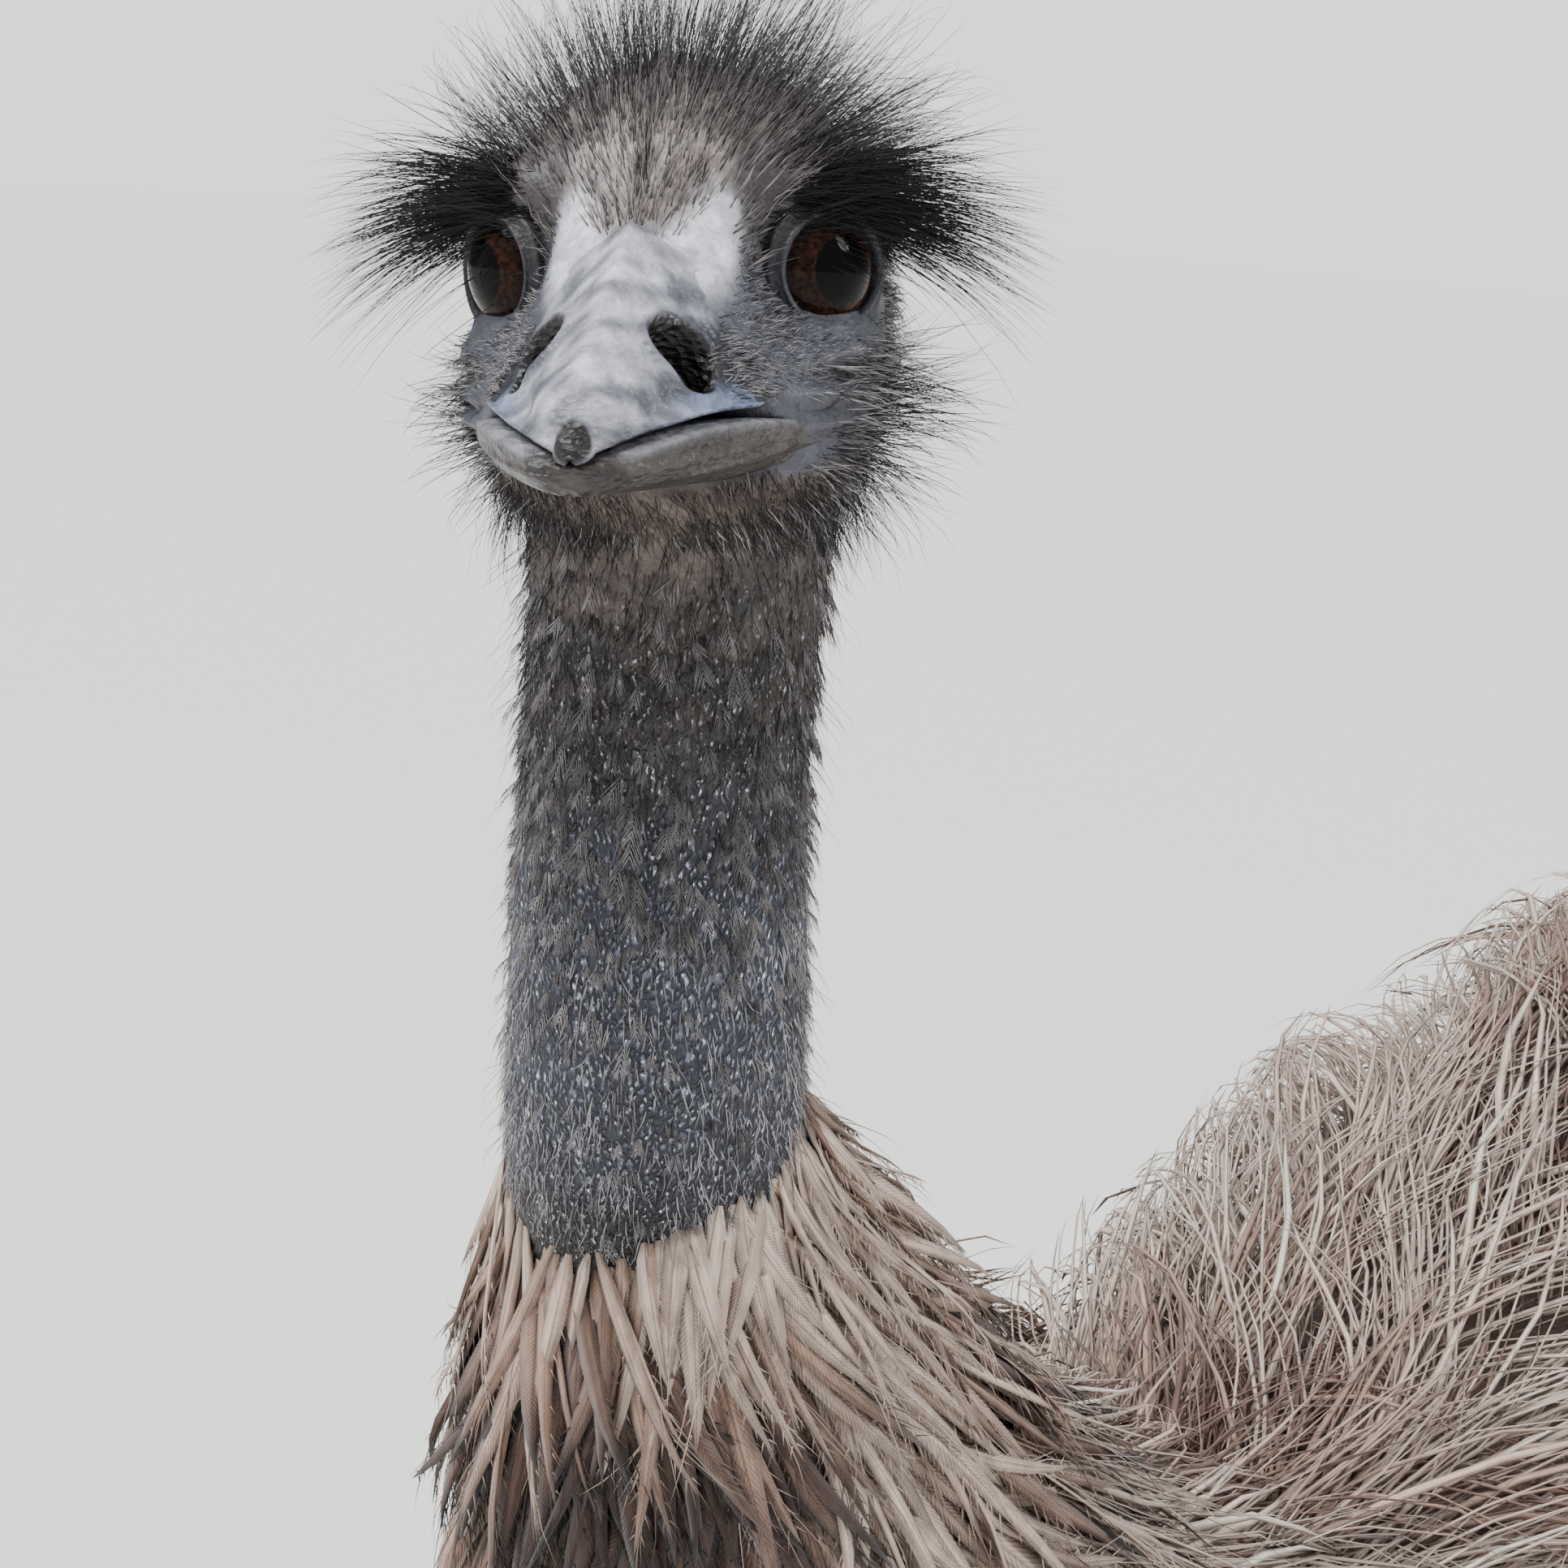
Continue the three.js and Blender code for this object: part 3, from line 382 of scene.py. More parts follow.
def halved(quads):
    """Two triangles from each quad."""
    return np.concatenate([quads[:, [0, 1, 2]], quads[:, [0, 2, 3]]])


def loft_object(name, rings):
    """A closed solid over rings of points, with a fan over each end, in triangles."""
    rows, columns = rings.shape[:2]
    faces = halved(grid_faces(rows, columns))
    points = rings.reshape(-1, 3)
    points = np.concatenate([points, rings[0].mean(0)[None], rings[-1].mean(0)[None]])
    k = np.arange(columns)
    n = (k + 1) % columns
    first = np.stack([n, k, np.full(columns, rows * columns)], axis=-1)
    start = (rows - 1) * columns
    last = np.stack([start + k, start + n, np.full(columns, rows * columns + 1)], axis=-1)
    faces = outward(points, np.concatenate([faces, first, last]))
    return bpy.data.objects.new(name, new_mesh(name, points, faces))


def outward(points, faces):
    """Turns faces outwards."""
    a, b, c = points[faces[:, 0]], points[faces[:, 1]], points[faces[:, 2]]
    centre = points.mean(0)
    volume = np.einsum("ij,ij->i", a - centre, np.cross(b - centre, c - centre)).sum()
    return faces if volume > 0 else faces[:, ::-1]


def vertex_vectors(mesh, key):
    flat = np.empty(len(mesh.vertices) * 3, np.float32)
    mesh.vertices.foreach_get(key, flat)
    return flat.reshape(-1, 3).astype(float)


def points_of(mesh):
    """Places of a mesh in millimetres in the bird's own frame."""
    return vertex_vectors(mesh, "co") / MM - SHIFT


def put_points(mesh, points):
    mesh.vertices.foreach_set("co", to_row(points).astype(np.float32).ravel())
    mesh.update()


def applied(obj, *settings):
    """The mesh of an object with modifiers applied; each setting is a type and its values."""
    for kind, values in settings:
        modifier = obj.modifiers.new(kind.title(), kind)
        for key, value in values.items():
            setattr(modifier, key, value)
    bpy.context.view_layer.update()
    depsgraph = bpy.context.evaluated_depsgraph_get()
    mesh = bpy.data.meshes.new_from_object(obj.evaluated_get(depsgraph))
    obj.modifiers.clear()
    return mesh


def joined(name, objects):
    """One object from several, with their meshes put together."""
    points = []
    faces = []
    base = 0
    for obj in objects:
        mesh = obj.data
        corner = np.empty(len(mesh.loops), np.int32)
        mesh.loops.foreach_get("vertex_index", corner)
        points.append(points_of(mesh))
        faces.append(corner.reshape(-1, 3) + base)
        base += len(mesh.vertices)
        bpy.data.objects.remove(obj)
    return bpy.data.objects.new(name, new_mesh(name, np.concatenate(points), np.concatenate(faces)))


def remeshed(name, objects, fineness):
    """Fuses closed pieces into one even mesh and relaxes it."""
    whole = link(joined(name, objects))
    voxel = VOXEL[fineness] * MM
    fuse = ("REMESH", {"mode": "VOXEL", "voxel_size": voxel, "use_smooth_shade": True})
    soften = ("SMOOTH", {"factor": 0.5, "iterations": RELAX[fineness]})
    whole.data = applied(whole, fuse, soften)
    return whole


def fused(first, second):
    """The union of two closed objects, in the first."""
    union = ("BOOLEAN", {"operation": "UNION", "object": second, "solver": "MANIFOLD"})
    first.data = applied(first, union)
    bpy.data.objects.remove(second)
    return first


def full_turn(count):
    """Angles once round, evenly apart."""
    return np.arange(count) * 2 * np.pi / count


def rings_of(place, ats, count):
    at, angle = np.meshgrid(ats, full_turn(count), indexing="ij")
    return place(at, angle)


def tube_rings(stations, ats, count, depth, share=1.0, sign=1.0, lift=0.0):
    """Rings round the flesh of a neck or limb, or round a share of its width."""
    def place(at, angle):
        return tube_surface(stations, at, angle, along(stations, "flesh", at) * share, depth, sign, lift)[0]

    return rings_of(place, ats, count)


def egg_object(name, centre, radii):
    """A closed egg, upright, from a centre and three radii."""
    steps = np.linspace(0.02, np.pi - 0.02, 24)
    turn, lean = np.meshgrid(full_turn(36), steps, indexing="xy")
    wide = np.sin(lean)
    unit_points = np.stack([wide * np.cos(turn), wide * np.sin(turn), np.cos(lean)], axis=-1)
    return loft_object(name, centre + unit_points * np.array(radii))


def toe_frame(toe, sign):
    yaw = math.radians(toe["yaw"]) * sign
    ahead = np.array([math.sin(yaw), -math.cos(yaw), 0])
    side = np.array([math.cos(yaw), math.sin(yaw), 0])
    root = np.array([sign * PAD["x"], PAD["y"] + STANCE_Y, 0])
    return ahead, side, root


def toe_surface(toe, sign, t, angle, grow=0.0):
    """Places on a toe, from the middle of the foot at 0 to the claw's root at 1."""
    ahead, side, root = toe_frame(toe, sign)
    bulge = 1 - 0.3 * t + 0.07 * np.cos(t * 6 * np.pi)
    height = toe["height"] * bulge * (1 - 0.15 * t)
    across, rise = oval(angle, toe["half"] * bulge + grow, height / 2 + grow, height / 2, 2.4)
    up = np.maximum(0.4, height * 0.42 + rise)
    flat = root + ahead * (toe["length"] * t)[..., None] + side * across[..., None]
    return np.concatenate([flat[..., :2], up[..., None]], axis=-1)


def head_flesh():
    ats = np.concatenate([[-71, -70, -68], np.linspace(-65, 46, 56)])

    def place(at, angle):
        start = mix(26, 15, smooth(-0.05, -0.35, np.cos(angle)))
        return from_head(head_surface(at, angle, -12 * smooth(0, 17, at - start)))

    return loft_object("head_flesh", rings_of(place, ats, 72))


def neck_flesh():
    ats = np.linspace(0, 3.9, 68)
    return loft_object("neck_flesh", tube_rings(NECK, ats, 48, NECK_DEPTH))


def trunk_flesh():
    ats = np.array([-340, -330, -300, -250, -190, -120, -40, 60, 150, 230, 310, 380, 430, 465, 488, 500.0])
    rings = rings_of(lambda at, angle: trunk_place(at, angle, FLESH_INSET)[0], ats, 40)
    root = tube_rings(NECK, np.linspace(3.4, NECK_END, 24), 32, NECK_DEPTH, 0.98)
    return [loft_object("trunk_flesh", rings), loft_object("neck_root", root)]


def leg_flesh(sign):
    thigh = tube_rings(THIGH, np.linspace(0, 4, 24), 36, THIGH_DEPTH, THIGH_FLESH_SHARE, sign, STANCE_Y)
    shank = tube_rings(SHANK, np.linspace(0, 6, 60), 48, SHANK_DEPTH, 1.0, sign, STANCE_Y)
    pad_middle = np.array([sign * PAD["x"], PAD["y"] + STANCE_Y, PAD["z"] + 3])
    pad = egg_object("pad", pad_middle, (PAD["radius"], PAD["radius"], PAD["height"] - 2))
    pieces = [loft_object("thigh_flesh", thigh), loft_object("shank_flesh", shank), pad]
    for toe in TOES.values():
        rings = rings_of(lambda t, angle: toe_surface(toe, sign, t, angle), np.linspace(0, 1.02, 40), 32)
        pieces.append(loft_object("toe_flesh", rings))
    return pieces


def eye_axes(sign):
    """The middle of an eye and its outward, side and up directions, in the head's frame."""
    angle = math.radians(EYE["outward"])
    centre = np.array([EYE["forward"], sign * EYE["side"], 0.0])
    outward_way = np.array([math.cos(angle), sign * math.sin(angle), 0.0])
    up = np.array([0.0, 0.0, 1.0])
    return centre, outward_way, np.cross(up, outward_way), up


def eye_ways(sign, lean, turn):
    """The middle of an eye, and ways out of it that lean away from its outward direction."""
    centre, way, side, up = eye_axes(sign)
    round_way = np.cos(turn)[..., None] * side + np.sin(turn)[..., None] * up
    return centre, np.cos(lean)[..., None] * way + np.sin(lean)[..., None] * round_way


def face_hollow(f, s, u):
    """Depth of the hollow between the eye and the bill."""
    return 5.6 * bell(f, 6, 9) * bell(u, -1, 11) * smooth(12, 24, np.abs(s))


def face_shape(local, out):
    """Adds the folds and hollows of the face to places on the plain head, in the head's frame."""
    f, s, u = np.moveaxis(local, -1, 0)
    side = np.abs(s)
    rise = 3.2 * bell(f, -4, 12) * bell(side, 27, 8) * bell(u, 16, 6)
    rise = rise + 1.8 * bell(f, -3, 14) * bell(u, -14.5, 2.4) * smooth(20, 30, side)
    rise = rise - 1.3 * bell(f, -3, 14) * bell(u, -18.5, 1.8) * smooth(20, 30, side)
    rise = rise - face_hollow(f, s, u)
    mouth = above_mouth(local)
    lips = smooth(-10, 0, f) * smooth(30, 12, f) * smooth(24, 30, side)
    folds = 3.4 * bell(mouth, 1.9, 1.6) + 2.4 * bell(mouth, -2.2, 1.6) - 3.0 * bell(mouth, 0, 0.8)
    rise = rise + lips * folds
    ear = np.sqrt((f - EAR["forward"]) ** 2 + (u - EAR["up"]) ** 2) / EAR["radius"]
    rise = rise + smooth(18, 26, side) * (1.6 * bell(ear, 1.25, 0.25) - 4.5 * smooth(1.0, 0.55, ear))
    return local + out * rise[..., None]


def shape_head(points, normals):
    """Shapes the skin of the head, and draws it in under the eyeballs."""
    plain = to_head(points)
    near = (plain[:, 2] > -70) & (plain[:, 0] > -90)
    local = np.where(near[:, None], face_shape(plain, normals @ HEAD_AXES), plain)
    for sign in (1, -1):
        centre, _, _, _ = eye_axes(sign)
        away = local - centre
        distance = np.linalg.norm(away, axis=1)
        pull = smooth(17.0, 15.4, distance) * np.maximum(distance - 13.2, 0)
        local = local - unit(away) * pull[:, None]
    return from_head(local)


def above_mouth(local):
    """Height over the line of the mouth, in the head's frame."""
    return local[..., 2] - along(MOUTH_LINE, "up", local[..., 0])


def neck_place_of(points):
    """Place along the neck of points near it, by height."""
    order = np.argsort(NECK["z"])
    return np.interp(points[:, 2], NECK["z"][order], NECK["at"][order])


# Colours

def srgb(r, g, b):
    """A colour as a display shows it, turned to linear light."""
    value = np.array([r, g, b]) / 255.0
    linear = np.where(value <= 0.04045, value / 12.92, ((value + 0.055) / 1.055) ** 2.4)
    return tuple(float(v) for v in linear)


def colour_prop(name, description, value):
    return FloatVectorProperty(
        name=name, description=description, default=srgb(*value), subtype="COLOR", size=3, min=0.0, max=1.0
    )


def count_prop(name, description, value):
    return IntProperty(name=name, description=description, default=value, min=20)


def length_prop(name, description, value):
    return FloatProperty(name=name, description=description, default=value, min=0.001, unit="LENGTH")


class EmuColours(bpy.types.PropertyGroup):
    """Colours of the skin, horn and plumage."""

    crown_skin: colour_prop("Crown skin", "Bare skin between the hairs of the crown", (158, 148, 146))
    face_skin: colour_prop("Face skin", "Bare skin of the face", (58, 60, 70))
    neck_skin: colour_prop("Neck skin", "Bluish bare skin of the neck", (98, 104, 124))
    throat_skin: colour_prop("Throat skin", "Downy skin of the throat", (168, 150, 140))
    # Body skin, kept dark as painted shade that shows in the gaps between locks and under the ruff
    body_skin_shade: colour_prop("Body skin", "Dark down under the plumage", (104, 86, 76))
    leg_skin: colour_prop("Leg skin", "Scaled skin of shanks and feet", (104, 94, 86))
    bill: colour_prop("Bill", "Grey horn of the bill", (100, 104, 117))
    # Pale worn horn; on the bill's ridge and near its tip this colour is also a painted highlight
    bill_worn: colour_prop("Worn bill", "Pale worn horn", (220, 222, 233))
    # Dark horn of the nail, also used for the painted shade inside the nostrils and along the mouth's gap
    bill_dark: colour_prop("Dark horn", "Nail of the bill and insides of the nostrils", (22, 21, 24))
    lower_bill: colour_prop("Lower bill", "Brown-grey lower bill", (104, 97, 92))
    # The lip colour is partly a bluish edge and partly a painted highlight along it
    lip: colour_prop("Lip", "Bluish edge of the upper bill", (140, 154, 184))
    iris: colour_prop("Iris", "Brown of the eye", (54, 32, 22))
    hair: colour_prop("Hair", "Black hair-like feathers of the head", (26, 24, 27))
    hair_grey: colour_prop("Grey hair", "Greyer bristles of the cheeks", (120, 116, 116))
    hair_pale: colour_prop("Pale hair", "Palest down of cheeks and neck", (186, 182, 184))
    cream: colour_prop("Cream", "Palest feathers of ruff and body", (254, 230, 212))
    tan: colour_prop("Tan", "Main colour of the body plumage", (224, 186, 164))
    brown: colour_prop("Brown", "Darker plumage", (142, 107, 92))
    dusk: colour_prop("Dusk", "Dark tips of the feathers", (52, 44, 44))
    claw: colour_prop("Claw", "Dark horn of the claws", (48, 43, 40))


class EmuSizes(bpy.types.PropertyGroup):
    """Counts and lengths of the plumage."""

    crown_hairs: count_prop("Crown hairs", "Black hairs of the crown", 5200)
    down_hairs: count_prop("Down", "Short down of crown and cheeks", 3800)
    brow_hairs: count_prop("Brow hairs", "Long hairs over the eyes", 1600)
    lid_hairs: count_prop("Lid hairs", "Hairs that sweep out from one upper lid", 420)
    face_hairs: count_prop("Face hairs", "Bristles on face and cheeks", 3600)
    neck_hairs: count_prop("Neck hairs", "Hairs on the neck", 3300)
    neck_feathers: count_prop("Neck feathers", "Small feathers of the neck", 1250)
    ruff_feathers: count_prop("Ruff feathers", "Feathers of the ruff", 1700)
    body_locks: count_prop("Body locks", "Locks of the trunk", 2940)
    shoulder_locks: count_prop("Shoulder locks", "Locks around the foot of the neck", 420)
    rump_locks: count_prop("Rump locks", "Plumes of the rump", 500)
    thigh_locks: count_prop("Thigh locks", "Locks of one thigh", 270)
    wing_locks: count_prop("Wing locks", "Locks of one wing", 120)
    crown_length: length_prop("Crown length", "Length of the crown hairs", 0.03)
    brow_length: length_prop("Brow length", "Length of the brow hairs", 0.041)
    body_length: length_prop("Body length", "Length of the body feathers", 0.17)
    ruff_length: length_prop("Ruff length", "Length of the ruff feathers", 0.062)


class EmuStage(bpy.types.PropertyGroup):
    """The stage, its light and the camera."""

    floor_size: length_prop("Floor", "Width of the floor", 60.0)
    floor_colour: colour_prop("Floor colour", "Pale floor and backdrop", (240, 239, 236))
    key_strength: FloatProperty(
        name="Key light", description="Strength of the main light", default=4.6, min=0
    )
    rim_power: FloatProperty(name="Rim light", description="Light from behind", default=22.0, unit="POWER")
    lens: FloatProperty(name="Lens", description="Focal length in millimetres", default=72.1, min=10.0)


def looks():
    return bpy.context.scene.emu_colours


def sizes():
    return bpy.context.scene.emu_sizes


def tint(name):
    return np.array(getattr(looks(), name))


def dice(piece):
    """Repeatable random numbers for one piece."""
    return np.random.default_rng(SEED * 1000 + piece)


# Markings, shared by the skin and the coat

def paint(colour, over, share):
    """Lays one colour over others, by a share at each place."""
    return mix(colour, over, share[..., None])


def lumps(points, size, seed):
    """Soft patches from -1 to 1, made of a few crossing waves."""
    rng = dice(seed)
    value = np.zeros(points.shape[:-1])
    for _ in range(7):
        way = rng.normal(size=3)
        way *= rng.uniform(0.6, 1.6) * 2 * np.pi / size / np.linalg.norm(way)
        value += np.sin(points @ way + rng.uniform(0, 2 * np.pi))
    return np.clip(value / 3.2, -1, 1)


def head_colour(local):
    """Skin colour on the head, from places in the head's frame."""
    f, s, u = np.moveaxis(local, -1, 0)
    side = np.abs(s)
    colour = tint("face_skin") * (1 + 0.22 * lumps(local, 16.0, 2)[..., None])
    crown = smooth(2, 10, u) * smooth(26, 18, f + 12 * smooth(6, 14, side))
    patch = 0.5 + 0.5 * lumps(local, 14.0, 3)
    colour = paint(colour, paint(tint("crown_skin") * 0.55, tint("crown_skin"), patch), crown)
    bristly = smooth(13, 17, side) * smooth(-10, 2, f) * smooth(27, 21, f) * smooth(0, 6, u)
    colour = paint(colour, tint("hair") * 2.2, 0.9 * bristly)
    throat = smooth(-33, -38, u) * smooth(40, 20, f)
    throat = np.maximum(throat, smooth(-20, -50, f) * smooth(0, -30, u))
    colour = paint(colour, tint("throat_skin") * 0.3, throat)
    inner = smooth(2, 6, side - 0.45 * np.maximum(24 - f, 0))
    lobe = smooth(6, 9, f) * smooth(18, 14.5, side) * inner * smooth(-6, 2, u)
    colour = paint(colour, tint("bill_worn"), 0.95 * lobe * (0.8 + 0.2 * lumps(local, 6.0, 4)))
    # Painted shade: darker along the crease below the eye
    under_eye_shade = bell(f, -2, 12) * bell(u, -17.5, 3.4) * smooth(22, 30, side)
    colour = colour * (1 - 0.6 * under_eye_shade[..., None])
    brow = bell(f, -4, 16) * smooth(6, 12, u) * smooth(20, 30, side)
    return paint(colour, tint("hair") * 1.5, 0.8 * brow)


def neck_colour(points):
    """Skin colour on the neck: downy above, dark below the throat, then bluish, and darkened towards and
    under the ruff as painted shade.
    """
    at = neck_place_of(points)
    blotch = smooth(-0.3, 0.6, lumps(points, 17.0, 6))
    throat = paint(tint("throat_skin") * 0.22, tint("hair") * 1.4, blotch)
    colour = paint(tint("neck_skin"), throat, smooth(1.6, 0.8, at))
    colour = paint(colour, tint("hair") * 1.3, 0.85 * bell(at, 0.9, 0.4) * (0.5 + 0.5 * blotch))
    # Painted shade under and towards the ruff: dark body skin under it, and a darkening that starts above it
    colour = paint(colour, tint("body_skin_shade") * 0.3, smooth(2.8, 3.2, at))
    return colour * ((1 + 0.25 * lumps(points, 22.0, 8)) * (1 - 0.4 * smooth(2.3, 2.9, at)))[..., None]


def plumage_tones(points):
    """Root, main and tip colours of the body plumage at places on it, in pale and dark patches, with the
    roots darkened as painted shade.
    """
    broad = lumps(points * np.array([1, 0.45, 1]), 150.0, PLUMAGE_SEED)
    small = lumps(points, 42.0, PLUMAGE_SEED + 3)
    stray = 0.18 * dice(PLUMAGE_SEED + 1).normal(size=points.shape[:-1])
    share = np.clip(0.6 + 0.36 * broad + 0.36 * small + stray, 0, 1)
    main = paint(tint("tan"), tint("cream"), smooth(0.3, 0.75, share))
    main = paint(main, tint("brown") * 0.85, smooth(0.45, 0.1, share))
    dark = smooth(0.3, 1.1, dice(PLUMAGE_SEED + 2).uniform(-1, 1, share.shape))
    # The roots are darkened towards brown as painted shade between the locks; the dark tips are the feathers'
    # own colour
    return mix(main, tint("brown"), 0.35), main, paint(main, tint("dusk") * 1.6, dark)


# Strands

def closed_pieces(rings, tips, across):
    """Arrays of closed pieces, each of k rings and a tip, from rings (n, k, sides, 3) and tips (n, 3)."""
    n, k, sides = rings.shape[:3]
    step = sides * k + 1
    points = np.concatenate([rings.reshape(n, k * sides, 3), tips[:, None]], axis=1)
    faces = [(0, a + 2, a + 1) for a in range(sides - 2)]
    last = sides * (k - 1)
    for low in range(0, last, sides):
        for a in range(sides):
            b = (a + 1) % sides
            faces.append((low + a, low + b, low + sides + b))
            faces.append((low + a, low + sides + b, low + sides + a))
    faces += [(last + a, last + (a + 1) % sides, last + sides) for a in range(sides)]
    faces = np.array(faces)[None] + (np.arange(n) * step)[:, None, None]
    run = np.concatenate([np.repeat(np.linspace(0, 1, k + 1)[:-1], sides), [1.0]])
    return {
        "points": points.reshape(-1, 3),
        "faces": faces.reshape(-1, 3),
        "along": np.tile(run, n),
        "across": np.tile(np.concatenate([np.tile(across, k), [0.0]]), n),
        "each": step,
    }


def path_axes(paths, out):
    """Directions across each path and up from it."""
    ahead = unit(np.gradient(paths, axis=1))
    side = unit(np.cross(ahead, out))
    return side, np.cross(side, ahead)


def strand_arrays(paths, out, half, thick):
    """Closed tapered strands of three sides: paths (n, k, 3), out (n, k, 3), half and thick (n, k)."""
    side, up = path_axes(paths, out)
    middle = paths[:, :-1]
    across = side[:, :-1] * half[:, :-1, None]
    ridge = middle + up[:, :-1] * thick[:, :-1, None]
    rings = np.stack([middle - across, middle + across, ridge], axis=2)
    return closed_pieces(rings, paths[:, -1], [-1.0, 1.0, 0.0])


def spread(values, arrays):
    """One value for each strand, given to all of its points."""
    return np.repeat(values, arrays["each"], axis=0)


def gathered(parts, key):
    return np.concatenate([part[key] for part in parts])


def coat_piece(name, parts, material, slot):
    """One coat piece from strands, with their colours and their patches of the bake map."""
    points = gathered(parts, "points")
    bases = np.cumsum([0] + [len(part["points"]) for part in parts[:-1]])
    faces = np.concatenate([part["faces"] + base for part, base in zip(parts, bases)])
    mesh = new_mesh(name, points, faces)
    for key in ("along", "across", "tone"):
        give_value(mesh, key, gathered(parts, key))
    give_colour(mesh, "coat", gathered(parts, "colour"))
    tuft = np.stack([gathered(parts, "across"), gathered(parts, "along") * 2 - 1], axis=-1)
    patch = np.clip(gathered(parts, "place"), PATCH, 1 - PATCH) + tuft * PATCH / 2
    layer = mesh.uv_layers.new(name="OFBake")
    layer.data.foreach_set("uv", patch[faces.ravel()].astype(np.float32).ravel())
    mesh.materials.append(material)
    return finish_piece(link(bpy.data.objects.new(name, mesh)), slot)


def bake_place(angle, run):
    """Where a tuft lies on the bake map, from its place round its form and along it."""
    return np.stack([0.5 + angle / (2 * np.pi), run], axis=-1)


def finish_strands(arrays, place, tone, root, middle, tip, turn=0.55):
    """Gives strands their bake place, their tone and their colours from root to tip."""
    run = arrays["along"][:, None]
    low = mix(spread(root, arrays), spread(middle, arrays), smooth(0, turn * 0.7, run))
    colour = mix(low, spread(tip, arrays), smooth(turn, 1.0, run))
    arrays["place"] = spread(place, arrays)
    arrays["tone"] = spread(tone, arrays)
    arrays["colour"] = np.clip(colour, 0, 1)
    return arrays


def swept_paths(roots, ways, outs, lengths, lift, droop, curl, count):
    """Paths that leave roots along ways, lift off along outs, droop and curl aside."""
    t = np.linspace(0, 1, count)[None, :, None]
    side = np.cross(outs, ways)
    path = roots[:, None] + ways[:, None] * lengths[:, None, None] * t
    path = path + outs[:, None] * (lift[:, None, None] * np.sin(t * np.pi * 0.5))
    path = path + side[:, None] * (curl[:, None, None] * t * t)
    return path - np.array([0, 0, 1.0]) * (droop[:, None, None] * t * t)


def fine_hairs(
    roots, ways, outs, lengths, widths, lift, droop, curl, place, tones, colours, count=4, lay=1.0
):
    """Thin hairs with their colours, in millimetres; lay is how far their ways are laid along the skin."""
    outs = unit(outs)
    ways = unit(ways - outs * np.sum(ways * outs, axis=-1, keepdims=True) * lay)
    path = swept_paths(roots - outs * HAIR_SUNK, ways, outs, lengths, lift, droop, curl, count)
    taper = np.linspace(1, 0.25, count)[None, :] ** 0.8
    half = widths[:, None] * taper
    arrays = strand_arrays(path, np.repeat(outs[:, None], count, 1), half, half * 1.5)
    return finish_strands(arrays, place, tones, *colours)


def drawn_places(rng, count, low, high, density):
    """Random places along and round a form, kept by a density from 0 to 1."""
    found = []
    total = 0
    tries = count * 3
    while total < count:
        at = rng.uniform(low, high, tries)
        angle = rng.uniform(-np.pi, np.pi, tries)
        keep = rng.uniform(0, 1, tries) < density(at, angle)
        found.append(np.stack([at[keep], angle[keep]]))
        total += int(keep.sum())
    return np.concatenate(found, axis=1)[:, :count]


def stray_ways(rng, count, scale):
    return rng.normal(scale=scale, size=(count, 3))


# Head hairs

def head_roots(count, rng, density):
    """Places on the head, with their outward directions, kept by a density from 0 to 1."""
    def kept(at, angle):
        return density(head_surface(at, angle)) * (along(HEAD, "half", at) / HEAD_HALF)

    at, angle = drawn_places(rng, count, -69, 46, kept)
    here = head_surface(at, angle)
    onward = head_surface(at + 0.4, angle) - head_surface(at - 0.4, angle)
    round_way = head_surface(at, angle + 0.02) - head_surface(at, angle - 0.02)
    out = unit(np.cross(onward, round_way))
    middle = np.stack([at, 0 * at, along(HEAD, "level", at)], axis=-1)
    flip = np.sign(np.sum(out * (here - middle), axis=-1, keepdims=True))
    return face_shape(here, out * flip), out * flip, bake_place(angle, (at + 75) / 110.0)


def eye_clearance(local):
    """Distance from the rim of the nearer eye's opening."""
    nearest = np.full(local.shape[:-1], 1e9)
    for sign in (1, -1):
        centre, way, _, _ = eye_axes(sign)
        rim = centre + way * EYE["radius"]
        nearest = np.minimum(nearest, np.linalg.norm(local - rim, axis=-1))
    return nearest - EYE["opening"]


def head_strands(seed, count, density, manner, points=4, lay=1.0):
    """Hairs of the head: a manner gives their ways, lengths, lifts, droops, widths and colours."""
    rng = dice(seed)
    local, out, place = head_roots(count, rng, density)
    way, length, lift, droop, width, hair = manner(rng, local, count)
    curl = length * rng.normal(scale=0.11, size=count)
    tone = rng.uniform(0, 1, count)
    root, way, out = from_head(local), unit(way) @ HEAD_AXES.T, out @ HEAD_AXES.T
    colours = (hair, hair, hair * 0.8)
    return fine_hairs(root, way, out, length, width, lift, droop, curl, place, tone, colours, points, lay)


def either(rng, count, share, first, second):
    """Hair colours: the first for a share of the hairs, and the second for the others."""
    return np.where((rng.uniform(0, 1, count) < share)[:, None], first, second)


def crown_density(local):
    f, s, u = np.moveaxis(local, -1, 0)
    side = np.abs(s)
    edge = 24 - 15 * bell(side, 13, 4.5) - 3 * smooth(17, 30, side)
    crown = smooth(-2, 7, u) * smooth(1.5, -1.5, f - edge)
    back = smooth(-18, -34, f) * smooth(-40, -20, u)
    return np.clip(np.maximum(crown, back), 0, 1) * smooth(0.5, 2.5, eye_clearance(local))


def crown_way(rng, local, count):
    """Hairs run away from the forehead's point, and down over the back of the head."""
    f, s, _ = local.T
    away = unit(local - (FOREHEAD_POINT + np.array([12.0, 0, -14.0])))
    back = unit(np.stack([0 * f - 1, 0.5 * np.sign(s), 0 * f - 0.25], axis=-1))
    swirl = 0.5 * lumps(local, 26.0, 81)[:, None] * np.array([0.3, 1.0, 0.2])
    return unit(paint(away, back, smooth(-22, -56, f))) + 0.35 * swirl + stray_ways(rng, count, 0.09)


